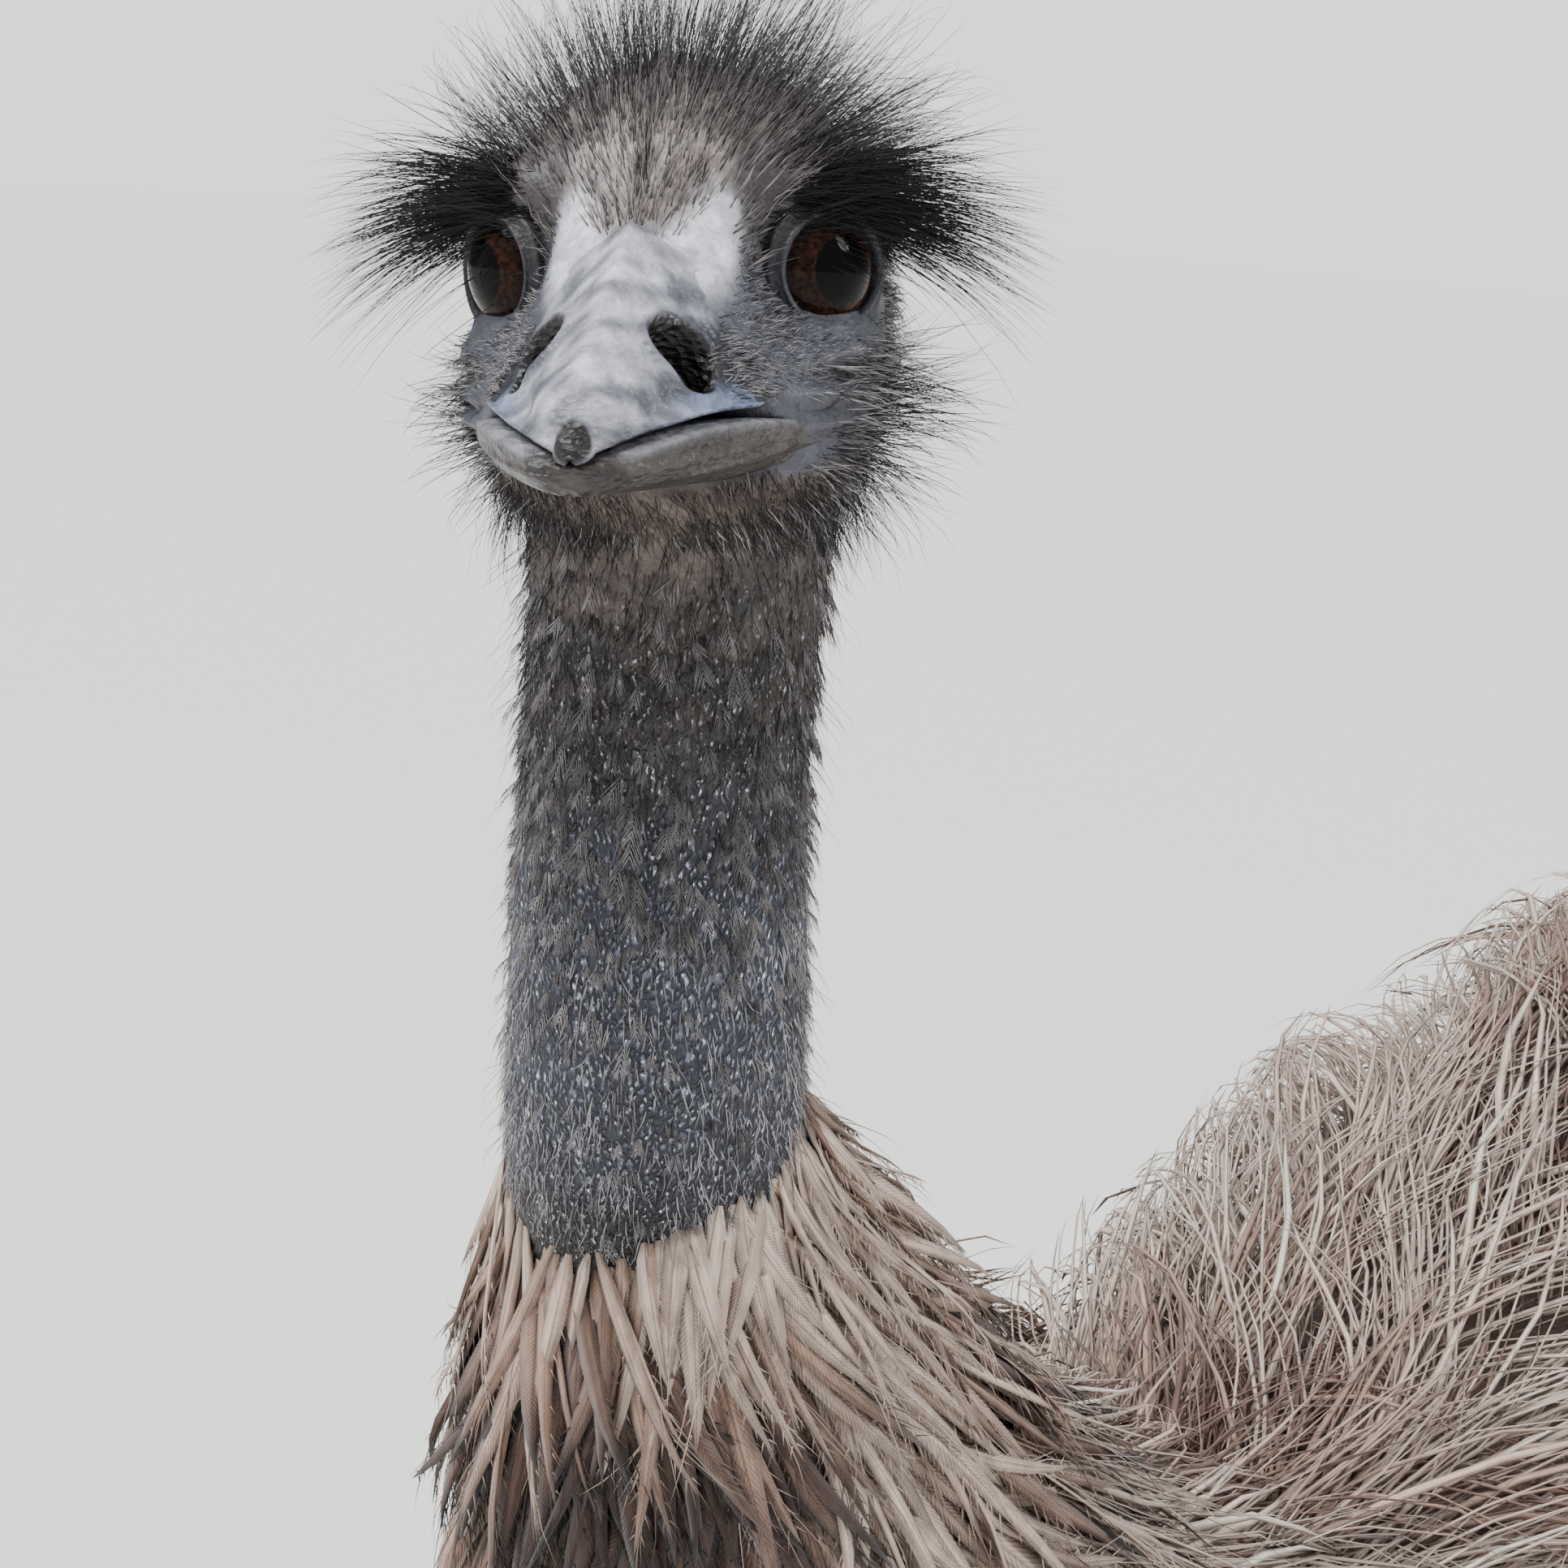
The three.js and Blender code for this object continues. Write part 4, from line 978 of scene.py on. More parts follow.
def crown_manner(rng, local, count):
    """Long hairs that grow short by the forehead and stand up on the crown."""
    f, _, u = local.T
    grown = smooth(-2, 26, np.linalg.norm(local - FOREHEAD_POINT, axis=1) - 4)
    length = sizes().crown_length / MM * (0.3 + 0.7 * grown) * rng.uniform(0.5, 1.2, count)
    stand = 0.14 + 0.8 * smooth(8, -20, f) * smooth(2, 22, u)
    lift = length * stand * rng.uniform(0.5, 1.1, count)
    hair = either(rng, count, 0.45, tint("hair_grey") * 0.8, tint("hair") * 1.3)
    return crown_way(rng, local, count), length, lift, 0.05 * length, rng.uniform(0.055, 0.1, count), hair


def crown_down_manner(rng, local, count):
    length = rng.uniform(4, 9, count)
    hair = mix(tint("crown_skin"), tint("hair_grey") * 0.5, rng.uniform(0, 1, (count, 1)) ** 1.3)
    way = crown_way(rng, local, count)
    return way, length, length * rng.uniform(0.15, 0.6, count), 0 * length, rng.uniform(0.1, 0.2, count), hair


def brow_density(local):
    f, s, u = np.moveaxis(local, -1, 0)
    clear = smooth(0.5, 2.0, eye_clearance(local))
    return bell(f, -5, 12) * bell(u, 11.5, 5) * smooth(17, 25, np.abs(s)) * clear


def brow_manner(rng, local, count):
    """Long black hairs that sweep out over the eyes and droop at their tips."""
    f, s, u = local.T
    way = np.stack([-0.3 - 0.015 * f, np.sign(s), 0.05 * (u - 11)], axis=-1) + stray_ways(rng, count, 0.13)
    length = sizes().brow_length / MM * rng.uniform(0.25, 1.0, count)
    droop = length * rng.uniform(0.05, 0.4, count)
    hair = np.broadcast_to(tint("hair") * 0.8, (count, 3))
    return way, length, 0.06 * length, droop, rng.uniform(0.07, 0.13, count), hair


def cheek_density(local):
    f, _, u = np.moveaxis(local, -1, 0)
    low = smooth(-6, -16, u) * smooth(15, 4, f)
    back = smooth(-16, -30, f) * smooth(8, -8, u)
    return np.maximum(low, back) * smooth(0.8, 4, eye_clearance(local)) * smooth(-66, -50, u)


def cheek_way(rng, local, count):
    _, s, u = local.T
    low = smooth(-28, -46, u)
    way = np.stack([-0.75 + 0 * s, (0.95 - 0.6 * low) * np.sign(s), -0.12 - 0.9 * low], axis=-1)
    return way + stray_ways(rng, count, 0.2)


def cheek_manner(rng, local, count):
    """Bristles that stand out from the cheeks."""
    f, s, u = local.T
    out = smooth(20, 33, np.abs(s)) * smooth(16, -4, f) * smooth(-8, -22, u)
    length = (5 + 17 * out) * rng.uniform(0.4, 1.15, count)
    hair = either(rng, count, mix(0.2, 0.55, smooth(-30, -14, u)), tint("hair_pale"), tint("hair"))
    lift = length * (rng.uniform(0.1, 0.35, count) + 0.4 * out * rng.uniform(0, 1, count))
    return cheek_way(rng, local, count), length, lift, 0.12 * length, rng.uniform(0.06, 0.11, count), hair


def cheek_down_manner(rng, local, count):
    length = rng.uniform(4, 9, count)
    hair = mix(tint("hair_grey") * 0.5, tint("hair_pale"), rng.uniform(0, 1, (count, 1)) ** 1.6)
    way = cheek_way(rng, local, count)
    lift = length * rng.uniform(0.2, 0.6, count)
    return way, length, lift, 0.1 * length, rng.uniform(0.12, 0.2, count), hair


def face_density(local):
    f, s, u = np.moveaxis(local, -1, 0)
    flank = smooth(46, 36, f) * smooth(15, 20, np.abs(s)) * smooth(20, 14, u)
    above = smooth(1.5, 3.5, above_mouth(local))
    return flank * above * smooth(-12, 0, f) * smooth(0.6, 2, eye_clearance(local))


def face_manner(rng, local, count):
    """Tiny bristles between the bill and the eyes."""
    _, s, u = local.T
    way = np.stack([-0.9 + 0 * s, 0.5 * np.sign(s), 0.012 * u], axis=-1) + stray_ways(rng, count, 0.25)
    length = rng.uniform(1.6, 4.2, count)
    hair = either(rng, count, mix(0.15, 0.5, smooth(4, -10, u)), tint("hair_pale"), tint("hair"))
    return way, length, 0.3 * length, 0 * length, rng.uniform(0.05, 0.09, count), hair


def throat_density(local):
    f, _, u = np.moveaxis(local, -1, 0)
    return smooth(-32, -35, u) * smooth(26, 20, f) * smooth(-50, -30, f) * (0.35 + 0.65 * smooth(-12, 4, f))


def throat_manner(rng, local, count):
    """Long fine hairs that lie down the throat."""
    s = local[:, 1]
    way = np.stack([-0.3 + 0 * s, 0.012 * s, -1.0 + 0 * s], axis=-1) + stray_ways(rng, count, 0.16)
    length = rng.uniform(8, 20, count)
    hair = np.broadcast_to(tint("hair"), (count, 3))
    return way, length, 0.25 * length, 0 * length, rng.uniform(0.05, 0.09, count), hair


def throat_down_manner(rng, local, count):
    way, _, _, droop, width, _ = throat_manner(rng, local, count)
    length = rng.uniform(4, 9, count)
    hair = mix(tint("throat_skin") * 0.6, tint("hair_grey") * 0.4, rng.uniform(0, 1, (count, 1)))
    return way, length, 0.2 * length, droop, width * 2, hair


def lid_part(sign):
    """Black hairs over an eye, which sweep outwards from its upper lid."""
    rng = dice(14 + sign)
    count = sizes().lid_hairs
    lean = rng.uniform(0.82, 1.4, count)
    turn = np.pi / 2 + rng.uniform(-1.25, 1.25, count)
    centre, out = eye_ways(sign, lean, turn)
    root = from_head(centre + out * (EYE["radius"] + 0.6))
    way = np.array([-0.42, sign * 0.95, 0.12]) + 0.35 * out + stray_ways(rng, count, 0.12)
    length = rng.uniform(7, 26, count) * smooth(0.2, 1.0, np.sin(turn))
    hair = np.broadcast_to(tint("hair"), (count, 3))
    place = np.stack([0.5 + sign * 0.17 + 0.01 * lean, 0.6 + 0.01 * turn], axis=-1)
    width = rng.uniform(0.06, 0.1, count)
    curl = length * rng.normal(scale=0.1, size=count)
    tone = rng.uniform(0, 1, count)
    return fine_hairs(
        root, way @ HEAD_AXES.T, out @ HEAD_AXES.T, length + 3, width, length * 0.1, length * 0.02, curl,
        place, tone, (hair, hair, hair), 5,
    )


# Neck

def neck_roots(count, rng, low, high, density):
    """Places on the neck with their outward and onward directions and their bake places."""
    at, angle = drawn_places(rng, count, low, high, density)
    point, out, ahead = tube_surface(NECK, at, angle, along(NECK, "flesh", at), NECK_DEPTH)
    return at, point, out, ahead, bake_place(angle, at / NECK_END)


def neck_hairs():
    """Hairs of the neck: short pale down above, and fine dark ones that stand out along its edges."""
    rng = dice(21)
    parts = []
    layers = (
        (0, sizes().neck_hairs, 3, lambda at, angle: smooth(1.8, 0.3, at)),
        (1, sizes().neck_hairs // 2, 4, lambda at, angle: 0.3 + 0.7 * smooth(1.7, 0.2, at)),
        (0, sizes().neck_hairs, 3, lambda at, angle: smooth(1.0, 1.7, at)),
    )
    for dark, count, points, density in layers:
        at, point, out, ahead, place = neck_roots(count, rng, 0.0, 2.9, density)
        long = mix(10.0, 15.0, smooth(2.4, 0.2, at)) if dark else mix(5.5, 7.5, smooth(1.0, 1.7, at))
        length = long * rng.uniform(0.5, 1.15, count)
        way = ahead + stray_ways(rng, count, 0.2)
        lift = length * rng.uniform(0.08, 0.35 + 0.35 * dark, count)
        shade = smooth(-0.5, 0.5, lumps(point, 15.0, 25) + rng.normal(scale=0.3, size=count))
        shade = (0.1 + 0.45 * shade * (1 - 0.8 * bell(at, 0.85, 0.4)) + 0.4 * smooth(1.2, 1.7, at))[:, None]
        pale = paint(tint("throat_skin"), tint("hair_pale") * 1.3, smooth(0.9, 1.6, at))
        hair = np.broadcast_to(tint("hair"), (count, 3)) if dark else pale * shade
        width = rng.uniform(0.05, 0.09, count) * (1 if dark else 2)
        curl = length * rng.normal(scale=0.15, size=count)
        parts.append(fine_hairs(point, way, out, length, width, lift, -0.3 * lift * dark, curl, place,
                                rng.uniform(0, 1, count), (hair, hair, hair * 0.8), points))
    return parts


def neck_feathers():
    """Small downy feathers of the neck: a dark shaft with pale barbs that widen downwards like a fan."""
    rng = dice(22)
    count = sizes().neck_feathers
    fullest = 1.15
    at, point, out, ahead, place = neck_roots(
        count, rng, 0.3, 3.0, lambda at, angle: 0.06 + 0.94 * bell(at, fullest, 0.5)
    )
    length = rng.uniform(3.5, 8.5, count)
    none = 0 * length
    way = unit(ahead + stray_ways(rng, count, 0.14))
    side = unit(np.cross(out, way))
    tone = rng.uniform(0, 1, count)
    lift = length * rng.uniform(0.15, 0.5, count)
    shaft = np.broadcast_to(tint("hair"), (count, 3))
    shade = rng.uniform(0.0, 1.0, (count, 1)) * (1 - 0.5 * bell(at, 0.9, 0.3))[:, None]
    pale = mix(tint("hair_grey") * 0.45, tint("hair_pale"), shade)
    thin = np.full(count, 0.09)
    parts = [
        fine_hairs(
            point, way, out, length * 1.35, thin, lift * 1.3, none, none, place, tone, (shaft, shaft, shaft)
        )
    ]
    for reach in (0.06, 0.16, 0.26, 0.36, 0.48, 0.6):
        for sign in (1, -1):
            start = point + way * (length * reach)[:, None] + out * (lift * math.sin(reach * 1.57))[:, None]
            barb_way = way + side * sign * (0.42 + 0.1 * reach) + stray_ways(rng, count, 0.05)
            barb = length * (1.02 - reach) * rng.uniform(0.75, 1.1, count)
            parts.append(fine_hairs(start, barb_way, out, barb, np.full(count, 0.12), barb * 0.3, none, none,
                                    place, tone, (pale, pale, pale), 2))
    return parts


# Ruff

def vane_arrays(paths, out, half, thick, dip, roll):
    """Closed feather vanes: each ring has a left edge, a shaft above, a right edge and a shaft below."""
    side, up = path_axes(paths, out)
    cos = np.cos(roll)
    sin = np.sin(roll)
    side, up = side * cos + up * sin, up * cos - side * sin
    middle = paths[:, :-1]
    low = up[:, :-1] * (half[:, :-1, None] * dip)
    across = side[:, :-1] * half[:, :-1, None]
    rise = up[:, :-1] * thick
    rings = np.stack([middle - across - low, middle + rise, middle + across - low, middle - rise], axis=2)
    return closed_pieces(rings, paths[:, -1], [-1.0, 0.0, 1.0, 0.0])


def outline_paths(
    stations, at, angle, turns, twist, count, stand, rise=0.8, flesh_share=1.0, sign=1.0, lift=0.0
):
    """Centre lines from the flesh of a neck or limb to the outline of its coat, and their outward ways."""
    t = np.linspace(0, 1, count)[None, :]
    here = np.minimum(at[:, None] + turns[:, None] * t, PATH_ENDS[stations is THIGH])
    turn_at = angle[:, None] + twist[:, None] * t
    flesh = along(stations, "flesh", here) * flesh_share
    share = stand[:, None] * np.sin(t * np.pi / 2) ** rise
    half = flesh + share * (along(stations, "coat", here) - flesh)
    point, out, _ = tube_surface(stations, here, turn_at, half, NECK_DEPTH, sign, lift)
    return point, out


def ruff_tones(points, at, angle, rng):
    """Cream feathers above, brown groups among them, and dusky tips that crowd lower down; the lower front
    runs to a dark shadow tone, partly dusky feathers and partly painted shade, one side is paler with cream
    feathers and painted light, and the roots are darkened as painted shade.
    """
    count = len(at)
    gap = np.mod(angle - RUFF_FRONT + np.pi, 2 * np.pi) - np.pi
    low = smooth(2.85, 3.3, at)
    share = 0.62 + 0.35 * lumps(points, 55.0, 33) + rng.normal(scale=0.18, size=count)
    # Lower down at the front the feathers run to the shadow tone: dusky feathers and painted shade
    share = share - 1.1 * low * bell(gap, 0.2, 0.6)
    front = 0.5 * smooth(3.4, 2.9, at) * bell(gap, -0.35, 0.25)
    # Paler towards one side: cream feathers, partly painted light on that side
    share = np.clip(share + 0.6 * bell(gap, -0.85, 0.45) + front - 0.1 * low, 0, 1)
    shadow = mix(tint("dusk"), tint("brown"), 0.4)
    main = paint(shadow, tint("tan") * 0.8, smooth(0.0, 0.55, share))
    main = paint(main, tint("cream"), smooth(0.45, 0.85, share))
    dark = smooth(0.8, 0.15, share + rng.normal(scale=0.15, size=count))
    # The roots are darkened as painted shade at the base of the feathers
    return main * 0.85, main, paint(main * 0.8, tint("dusk") * 0.5, dark)


def ruff_parts():
    """Feathers of the ruff, each with a vane, a frayed edge and hair-like ends."""
    rng = dice(31)
    count = sizes().ruff_feathers
    steps = 8
    t = np.linspace(0, 1, steps)
    at = 2.72 + 2.0 * rng.uniform(0, 1, count) ** 1.1
    angle = rng.uniform(-np.pi, np.pi, count)
    front = np.abs(angle) / np.pi
    at = at + 0.2 * smooth(0.55, 0.95, front) * smooth(3.4, 2.8, at)
    length = sizes().ruff_length / MM * rng.uniform(0.7, 1.25, count) * mix(0.6, 1.15, smooth(2.7, 4.2, at))
    turns = length / mix(58.0, 78.0, smooth(3, 5, at))
    stand = rng.uniform(0.35, 1.0, count)
    path, out = outline_paths(NECK, at, angle, turns, rng.normal(scale=0.26, size=count), steps, stand)
    wave = rng.normal(scale=0.05, size=(count, 1, 3)) * length[:, None, None]
    path = path + wave * t[None, :, None] ** 2
    shape = np.interp(t, [0, 0.15, 0.45, 0.75, 1], [0.35, 0.85, 1.0, 0.6, 0.05])
    width = rng.uniform(2.3, 4.6, count) * mix(0.75, 1.15, smooth(2.8, 4.5, at))
    half = width[:, None] * shape[None]
    place = bake_place(angle, at / NECK_END)
    tone = rng.uniform(0, 1, count)
    root, main, tip = ruff_tones(path[:, 3], at, angle, rng)
    roll = rng.normal(scale=0.38, size=count)[:, None, None]
    vane = vane_arrays(path, out, half, VANE["thick"], VANE["dip"], roll)
    parts = [finish_strands(vane, place, tone, root, main, tip, 0.5)]
    side = unit(np.cross(np.gradient(path, axis=1), out))
    barbs = [(reach, sign, shift) for reach in (3, 4, 5, 6) for sign in (1, -1)
             for shift in ((0.25,) if reach < 5 else (0.0, 0.5))]
    for reach, sign, shift in barbs:
        low, high = path[:, reach], path[:, reach + 1]
        edge = side[:, reach]
        start = mix(low, high, shift) + edge * (sign * half[:, reach] * 0.75)[:, None]
        way = unit(unit(high - path[:, reach - 1]) + edge * sign * rng.uniform(0.2, 0.7, (count, 1)))
        barb = width * rng.uniform(0.7, 1.5, count)
        end = mix(main, tip, 0.2 + 0.13 * reach)
        parts.append(fine_hairs(start, way, out[:, reach], barb * 1.3, np.full(count, 0.2), barb * 0.15,
                                barb * 0.15, 0 * barb, place, tone, (end, end, end * 0.8), 2, 0.8))
    for _ in range(3):
        way = unit(path[:, -1] - path[:, -3]) + stray_ways(rng, count, 0.16)
        whisker = length * rng.uniform(0.2, 0.6, count)
        start = path[:, -3] + side[:, -3] * (half[:, -3] * rng.uniform(-0.8, 0.8, count))[:, None]
        curl = whisker * rng.normal(scale=0.2, size=count)
        parts.append(fine_hairs(start, way, out[:, -1], whisker, np.full(count, 0.16), whisker * 0.2,
                                whisker * 0.1, curl, place, tone, (tip, tip * 0.8, tip * 0.6), 4, 0.4))
    return parts


# Locks of strands

def lock_strands(path, out, width, rng):
    """Centre lines of each lock's strands, which spread at the middle and gather at the tip."""
    n, k = path.shape[:2]
    t = np.linspace(0, 1, k)
    rows = np.arange(n)[:, None]
    side, _ = path_axes(path, out)
    fan = np.interp(t, [0, 0.3, 0.7, 1], [0.55, 1.0, 0.9, 0.25])
    lines = []
    for j in range(LOCK["strands"]):
        offset = (j + 0.5) / LOCK["strands"] * 2 - 1 + rng.normal(scale=0.14, size=n)
        bend = rng.normal(scale=0.35, size=n)
        wave = 0.16 * np.sin(2 * np.pi * (1.2 * t[None] + rng.uniform(0, 1, (n, 1))))
        start = rng.uniform(0.0, 0.12, n)
        reach = rng.uniform(0.82, 1.08, n)
        share = start[:, None] + (reach - start)[:, None] * t[None]
        index = np.clip(share, 0, 1) * (k - 1)
        low = np.clip(index.astype(int), 0, k - 2)
        part = (index - low)[..., None]
        line = path[rows, low] * (1 - part) + path[rows, low + 1] * part
        sway = offset[:, None] * fan[None] + bend[:, None] * (t**2)[None] + wave
        height = rng.uniform(-0.25, 0.25, n)[:, None] * t[None]
        line = line + side[rows, low] * (sway * width[:, None])[..., None]
        line = line + out[rows, low] * (height * width[:, None])[..., None]
        lines.append((line, out[rows, low]))
    return lines


def lock_parts(path, out, width, place, rng):
    """Locks from their centre lines: a few flat ribbons each, with fine strands between and over them."""
    n, k = path.shape[:2]
    root, main, tip = plumage_tones(path[:, 3])
    taper = np.interp(np.linspace(0, 1, k), [0, 0.35, 0.75, 1], [0.6, 1.0, 0.7, 0.15])
    parts = []
    for j, (line, up) in enumerate(lock_strands(path, out, width, rng)):
        ribbon = j % 3 == 1
        half = width * rng.uniform(0.06, 0.12, n) if ribbon else LOCK["fine"] * rng.uniform(0.7, 1.4, n)
        half = half[:, None] * taper
        turned_up = unit(up + rng.normal(scale=0.35, size=(n, 1, 3)))
        arrays = strand_arrays(line, turned_up, half, half * (0.3 if ribbon else 0.9))
        shade = rng.uniform(0.8, 1.15, (n, 1))
        tone = rng.uniform(0, 1, n)
        parts.append(finish_strands(arrays, place, tone, root * shade, main * shade, tip * shade, 0.6))
    return parts


def trunk_bake_place(angle, at):
    return bake_place(angle, (at + 400) / 960.0)


def trunk_parts(piece, low, high, count):
    """Locks of the trunk: they run back and fall away from the parting along the back."""
    rng = dice(40 + piece)
    at = rng.uniform(low, high, count)
    angle = rng.uniform(-0.3, 2.9, count)
    sign = np.where(rng.uniform(0, 1, count) < 0.5, -1.0, 1.0)
    long = sizes().body_length / MM * rng.uniform(0.65, 1.15, count)
    around, _ = trunk_place(at, angle * sign, 30.0)
    wander = 14 * lumps(around, 120.0, 71) + 9 * lumps(around, 45.0, 72)
    slant = np.radians(22 + 40 * np.sin(np.maximum(angle, 0)) + wander + rng.normal(scale=10, size=count))
    radius = along(TRUNK, "half", at) * 1.1
    curl = np.radians(rng.normal(scale=24, size=count) + 18 * lumps(around, 70.0, 73))
    t = np.linspace(0, 1, LOCK["steps"])[None]
    lean = slant[:, None] + curl[:, None] * t
    step_back = np.cumsum(np.cos(lean), axis=1) / LOCK["steps"]
    step_round = np.cumsum(np.sin(lean), axis=1) / LOCK["steps"]
    back = at[:, None] + long[:, None] * (step_back - step_back[:, :1])
    round_at = angle[:, None] + long[:, None] * (step_round - step_round[:, :1]) / radius[:, None]
    round_at = np.minimum(round_at, np.pi) * sign[:, None]
    top = rng.uniform(-2, 24, count)
    root = mix(30.0, 50.0, smooth(0.05, 0.5, angle))
    depth = mix(root[:, None], top[:, None], np.sin(t * np.pi / 2) ** 0.75)
    path, out = trunk_place(back, round_at, depth)
    return lock_parts(path, out, rng.uniform(8, 15, count), trunk_bake_place(angle * sign, at), rng)


def shoulder_parts():
    """Locks around the foot of the neck, where the ruff runs into the body's plumage."""
    rng = dice(49)
    count = sizes().shoulder_locks
    at = rng.uniform(4.0, 5.7, count)
    angle = rng.uniform(-np.pi, np.pi, count)
    twist = 0.5 * lumps(np.stack([at * 60, angle * 90, 0 * at], axis=-1), 120.0, 74)
    twist = twist + rng.normal(scale=0.12, size=count)
    turns = rng.uniform(1.1, 1.8, count)
    path, out = outline_paths(NECK, at, angle, turns, twist, LOCK["steps"], rng.uniform(0.5, 1.0, count))
    return lock_parts(path, out, rng.uniform(8, 14, count), bake_place(angle, at / NECK_END), rng)


def rump_parts():
    """Long plumes that fall over the rump."""
    rng = dice(51)
    count = sizes().rump_locks
    at = rng.uniform(300, 515, count)
    angle = rng.uniform(-2.35, 2.35, count)
    root, out = trunk_place(at, angle, FLESH_INSET)
    onward, _ = trunk_place(at + 20, angle * 1.06, FLESH_INSET - 6)
    way = unit(unit(onward - root) + np.array([0, 0, -0.25]))
    behind = smooth(430, 520, at)
    length = rng.uniform(110, 190, count) * mix(1.0, 0.75, behind)
    lift = rng.uniform(46, 72, count) * mix(1.0, 0.8, behind)
    droop = rng.uniform(20, 80, count)
    curl = length * rng.normal(scale=0.12, size=count)
    path = swept_paths(root, way, out, length, lift, droop, curl, LOCK["steps"])
    ups = np.repeat(out[:, None], LOCK["steps"], 1)
    return lock_parts(path, ups, rng.uniform(9, 16, count), trunk_bake_place(angle, at), rng)


def thigh_parts(sign):
    """Locks that hang down round a thigh."""
    rng = dice(55 + sign)
    count = sizes().thigh_locks
    at = -0.7 + 3.8 * rng.uniform(0, 1, count)
    angle = rng.uniform(-np.pi, np.pi, count)
    turns = rng.uniform(0.75, 1.25, count)
    twist = rng.normal(scale=0.14, size=count)
    stand = rng.uniform(0.6, 1.0, count)
    path, out = outline_paths(
        THIGH, at, angle, turns, twist, LOCK["steps"], stand, 0.75, THIGH_FLESH_SHARE, sign, STANCE_Y
    )
    return lock_parts(path, out, rng.uniform(6, 11, count), bake_place(angle, at / 4.0), rng)


def wing_parts(sign):
    """Drooping feathers of the small wings, over the flank's own."""
    rng = dice(58 + sign)
    count = sizes().wing_locks
    t = rng.uniform(0, 1, count)
    back = WING["y"] - 70 + 130 * t + rng.normal(scale=10, size=count)
    high = WING["z"] + 26 - 45 * t + rng.normal(scale=14, size=count)
    root = np.stack([sign * (WING["side"] + 4 + 0 * t), back, high], axis=-1)
    out = unit(np.stack([sign + 0 * t, 0 * t, 0.15 + 0 * t], axis=-1))
    way = unit(np.stack([0 * t, 1 + 0 * t, -0.35 - 0.3 * t + rng.normal(scale=0.15, size=count)], axis=-1))
    length = rng.uniform(110, 175, count)
    lift = rng.uniform(18, 30, count)
    droop = rng.uniform(10, 30, count)
    curl = length * rng.normal(scale=0.1, size=count)
    path = swept_paths(root - out * 10, way, out, length, lift, droop, curl, LOCK["steps"])
    place = np.stack([0.5 + 0.2 * sign + 0.1 * t, 0.3 + 0.1 * t], axis=-1)
    ups = np.repeat(out[:, None], LOCK["steps"], 1)
    return lock_parts(path, ups, rng.uniform(9, 14, count), place, rng)


# Materials

class Nodes:
    """A short way to place and join shader nodes."""

    def __init__(self, tree):
        self.tree = tree

    def set(self, node, name, value):
        """Gives an input a value, or joins it to another node's output."""
        if isinstance(value, bpy.types.NodeSocket):
            self.tree.links.new(value, node.inputs[name])
        else:
            node.inputs[name].default_value = value

    def add(self, kind, inputs=None, **settings):
        """A new node with its settings and inputs."""
        node = self.tree.nodes.new("ShaderNode" + kind)
        for key, value in settings.items():
            setattr(node, key, value)
        for name, value in (inputs or {}).items():
            self.set(node, name, value)
        return node

    def place(self):
        return self.add("TexCoord").outputs["Object"]

    def attribute(self, name, output="Fac"):
        return self.add("Attribute", attribute_name=name).outputs[output]

    def noise(self, vector, scale, detail=4.0, rough=0.55, distortion=0.0):
        given = {"Vector": vector, "Scale": scale, "Detail": detail, "Roughness": rough}
        given["Distortion"] = distortion
        return self.add("TexNoise", given).outputs["Fac"]

    def cells(self, vector, scale, feature="F1"):
        return self.add("TexVoronoi", {"Vector": vector, "Scale": scale}, feature=feature).outputs["Distance"]

    def math(self, kind, *values):
        return self.add("Math", dict(enumerate(values)), operation=kind).outputs[0]

    def times(self, a, b):
        return self.math("MULTIPLY", a, b)

    def plus(self, a, b):
        return self.math("ADD", a, b)

    def span(self, value, low, high, to_low=0.0, to_high=1.0):
        given = {"Value": value, "From Min": low, "From Max": high, "To Min": to_low, "To Max": to_high}
        return self.add("MapRange", given, interpolation_type="SMOOTHSTEP").outputs["Result"]

    def blend(self, share, a, b, kind="MIX"):
        return self.add("Mix", {0: share, 6: a, 7: b}, data_type="RGBA", blend_type=kind).outputs[2]

    def dimmed(self, colour, *shares):
        return self.blend(1.0, colour, (*shares, 1), "MULTIPLY")

    def stretch(self, vector, *scale):
        return self.add("Mapping", {"Vector": vector, "Scale": scale}).outputs["Vector"]

    def waver(self, vector, scale, size):
        noise = self.add("TexNoise", {"Vector": vector, "Scale": scale}).outputs["Color"]
        given = {0: noise, 1: (size, size, size), 2: vector}
        return self.add("VectorMath", given, operation="MULTIPLY_ADD").outputs[0]

    def bump(self, height, distance, strength=1.0, normal=None):
        given = {"Height": height, "Distance": distance, "Strength": strength}
        if normal is not None:
            given["Normal"] = normal
        return self.add("Bump", given).outputs["Normal"]

    def group(self, name, **inputs):
        return self.add("Group", inputs, node_tree=bpy.data.node_groups[name]).outputs


def material_of(name, look, *values):
    """The material of this name, made the first time; its look gives the shader's inputs by name."""
    found = bpy.data.materials.get(name)
    if found:
        return found
    material = bpy.data.materials.new(name)
    material.use_nodes = True
    nodes = Nodes(material.node_tree)
    shader = material.node_tree.nodes["Principled BSDF"]
    for key, value in look(nodes, *values).items():
        nodes.set(shader, key, value)
    return material


def paint_of(colour, share=1.0):
    return (*(np.array(colour) * share), 1.0)


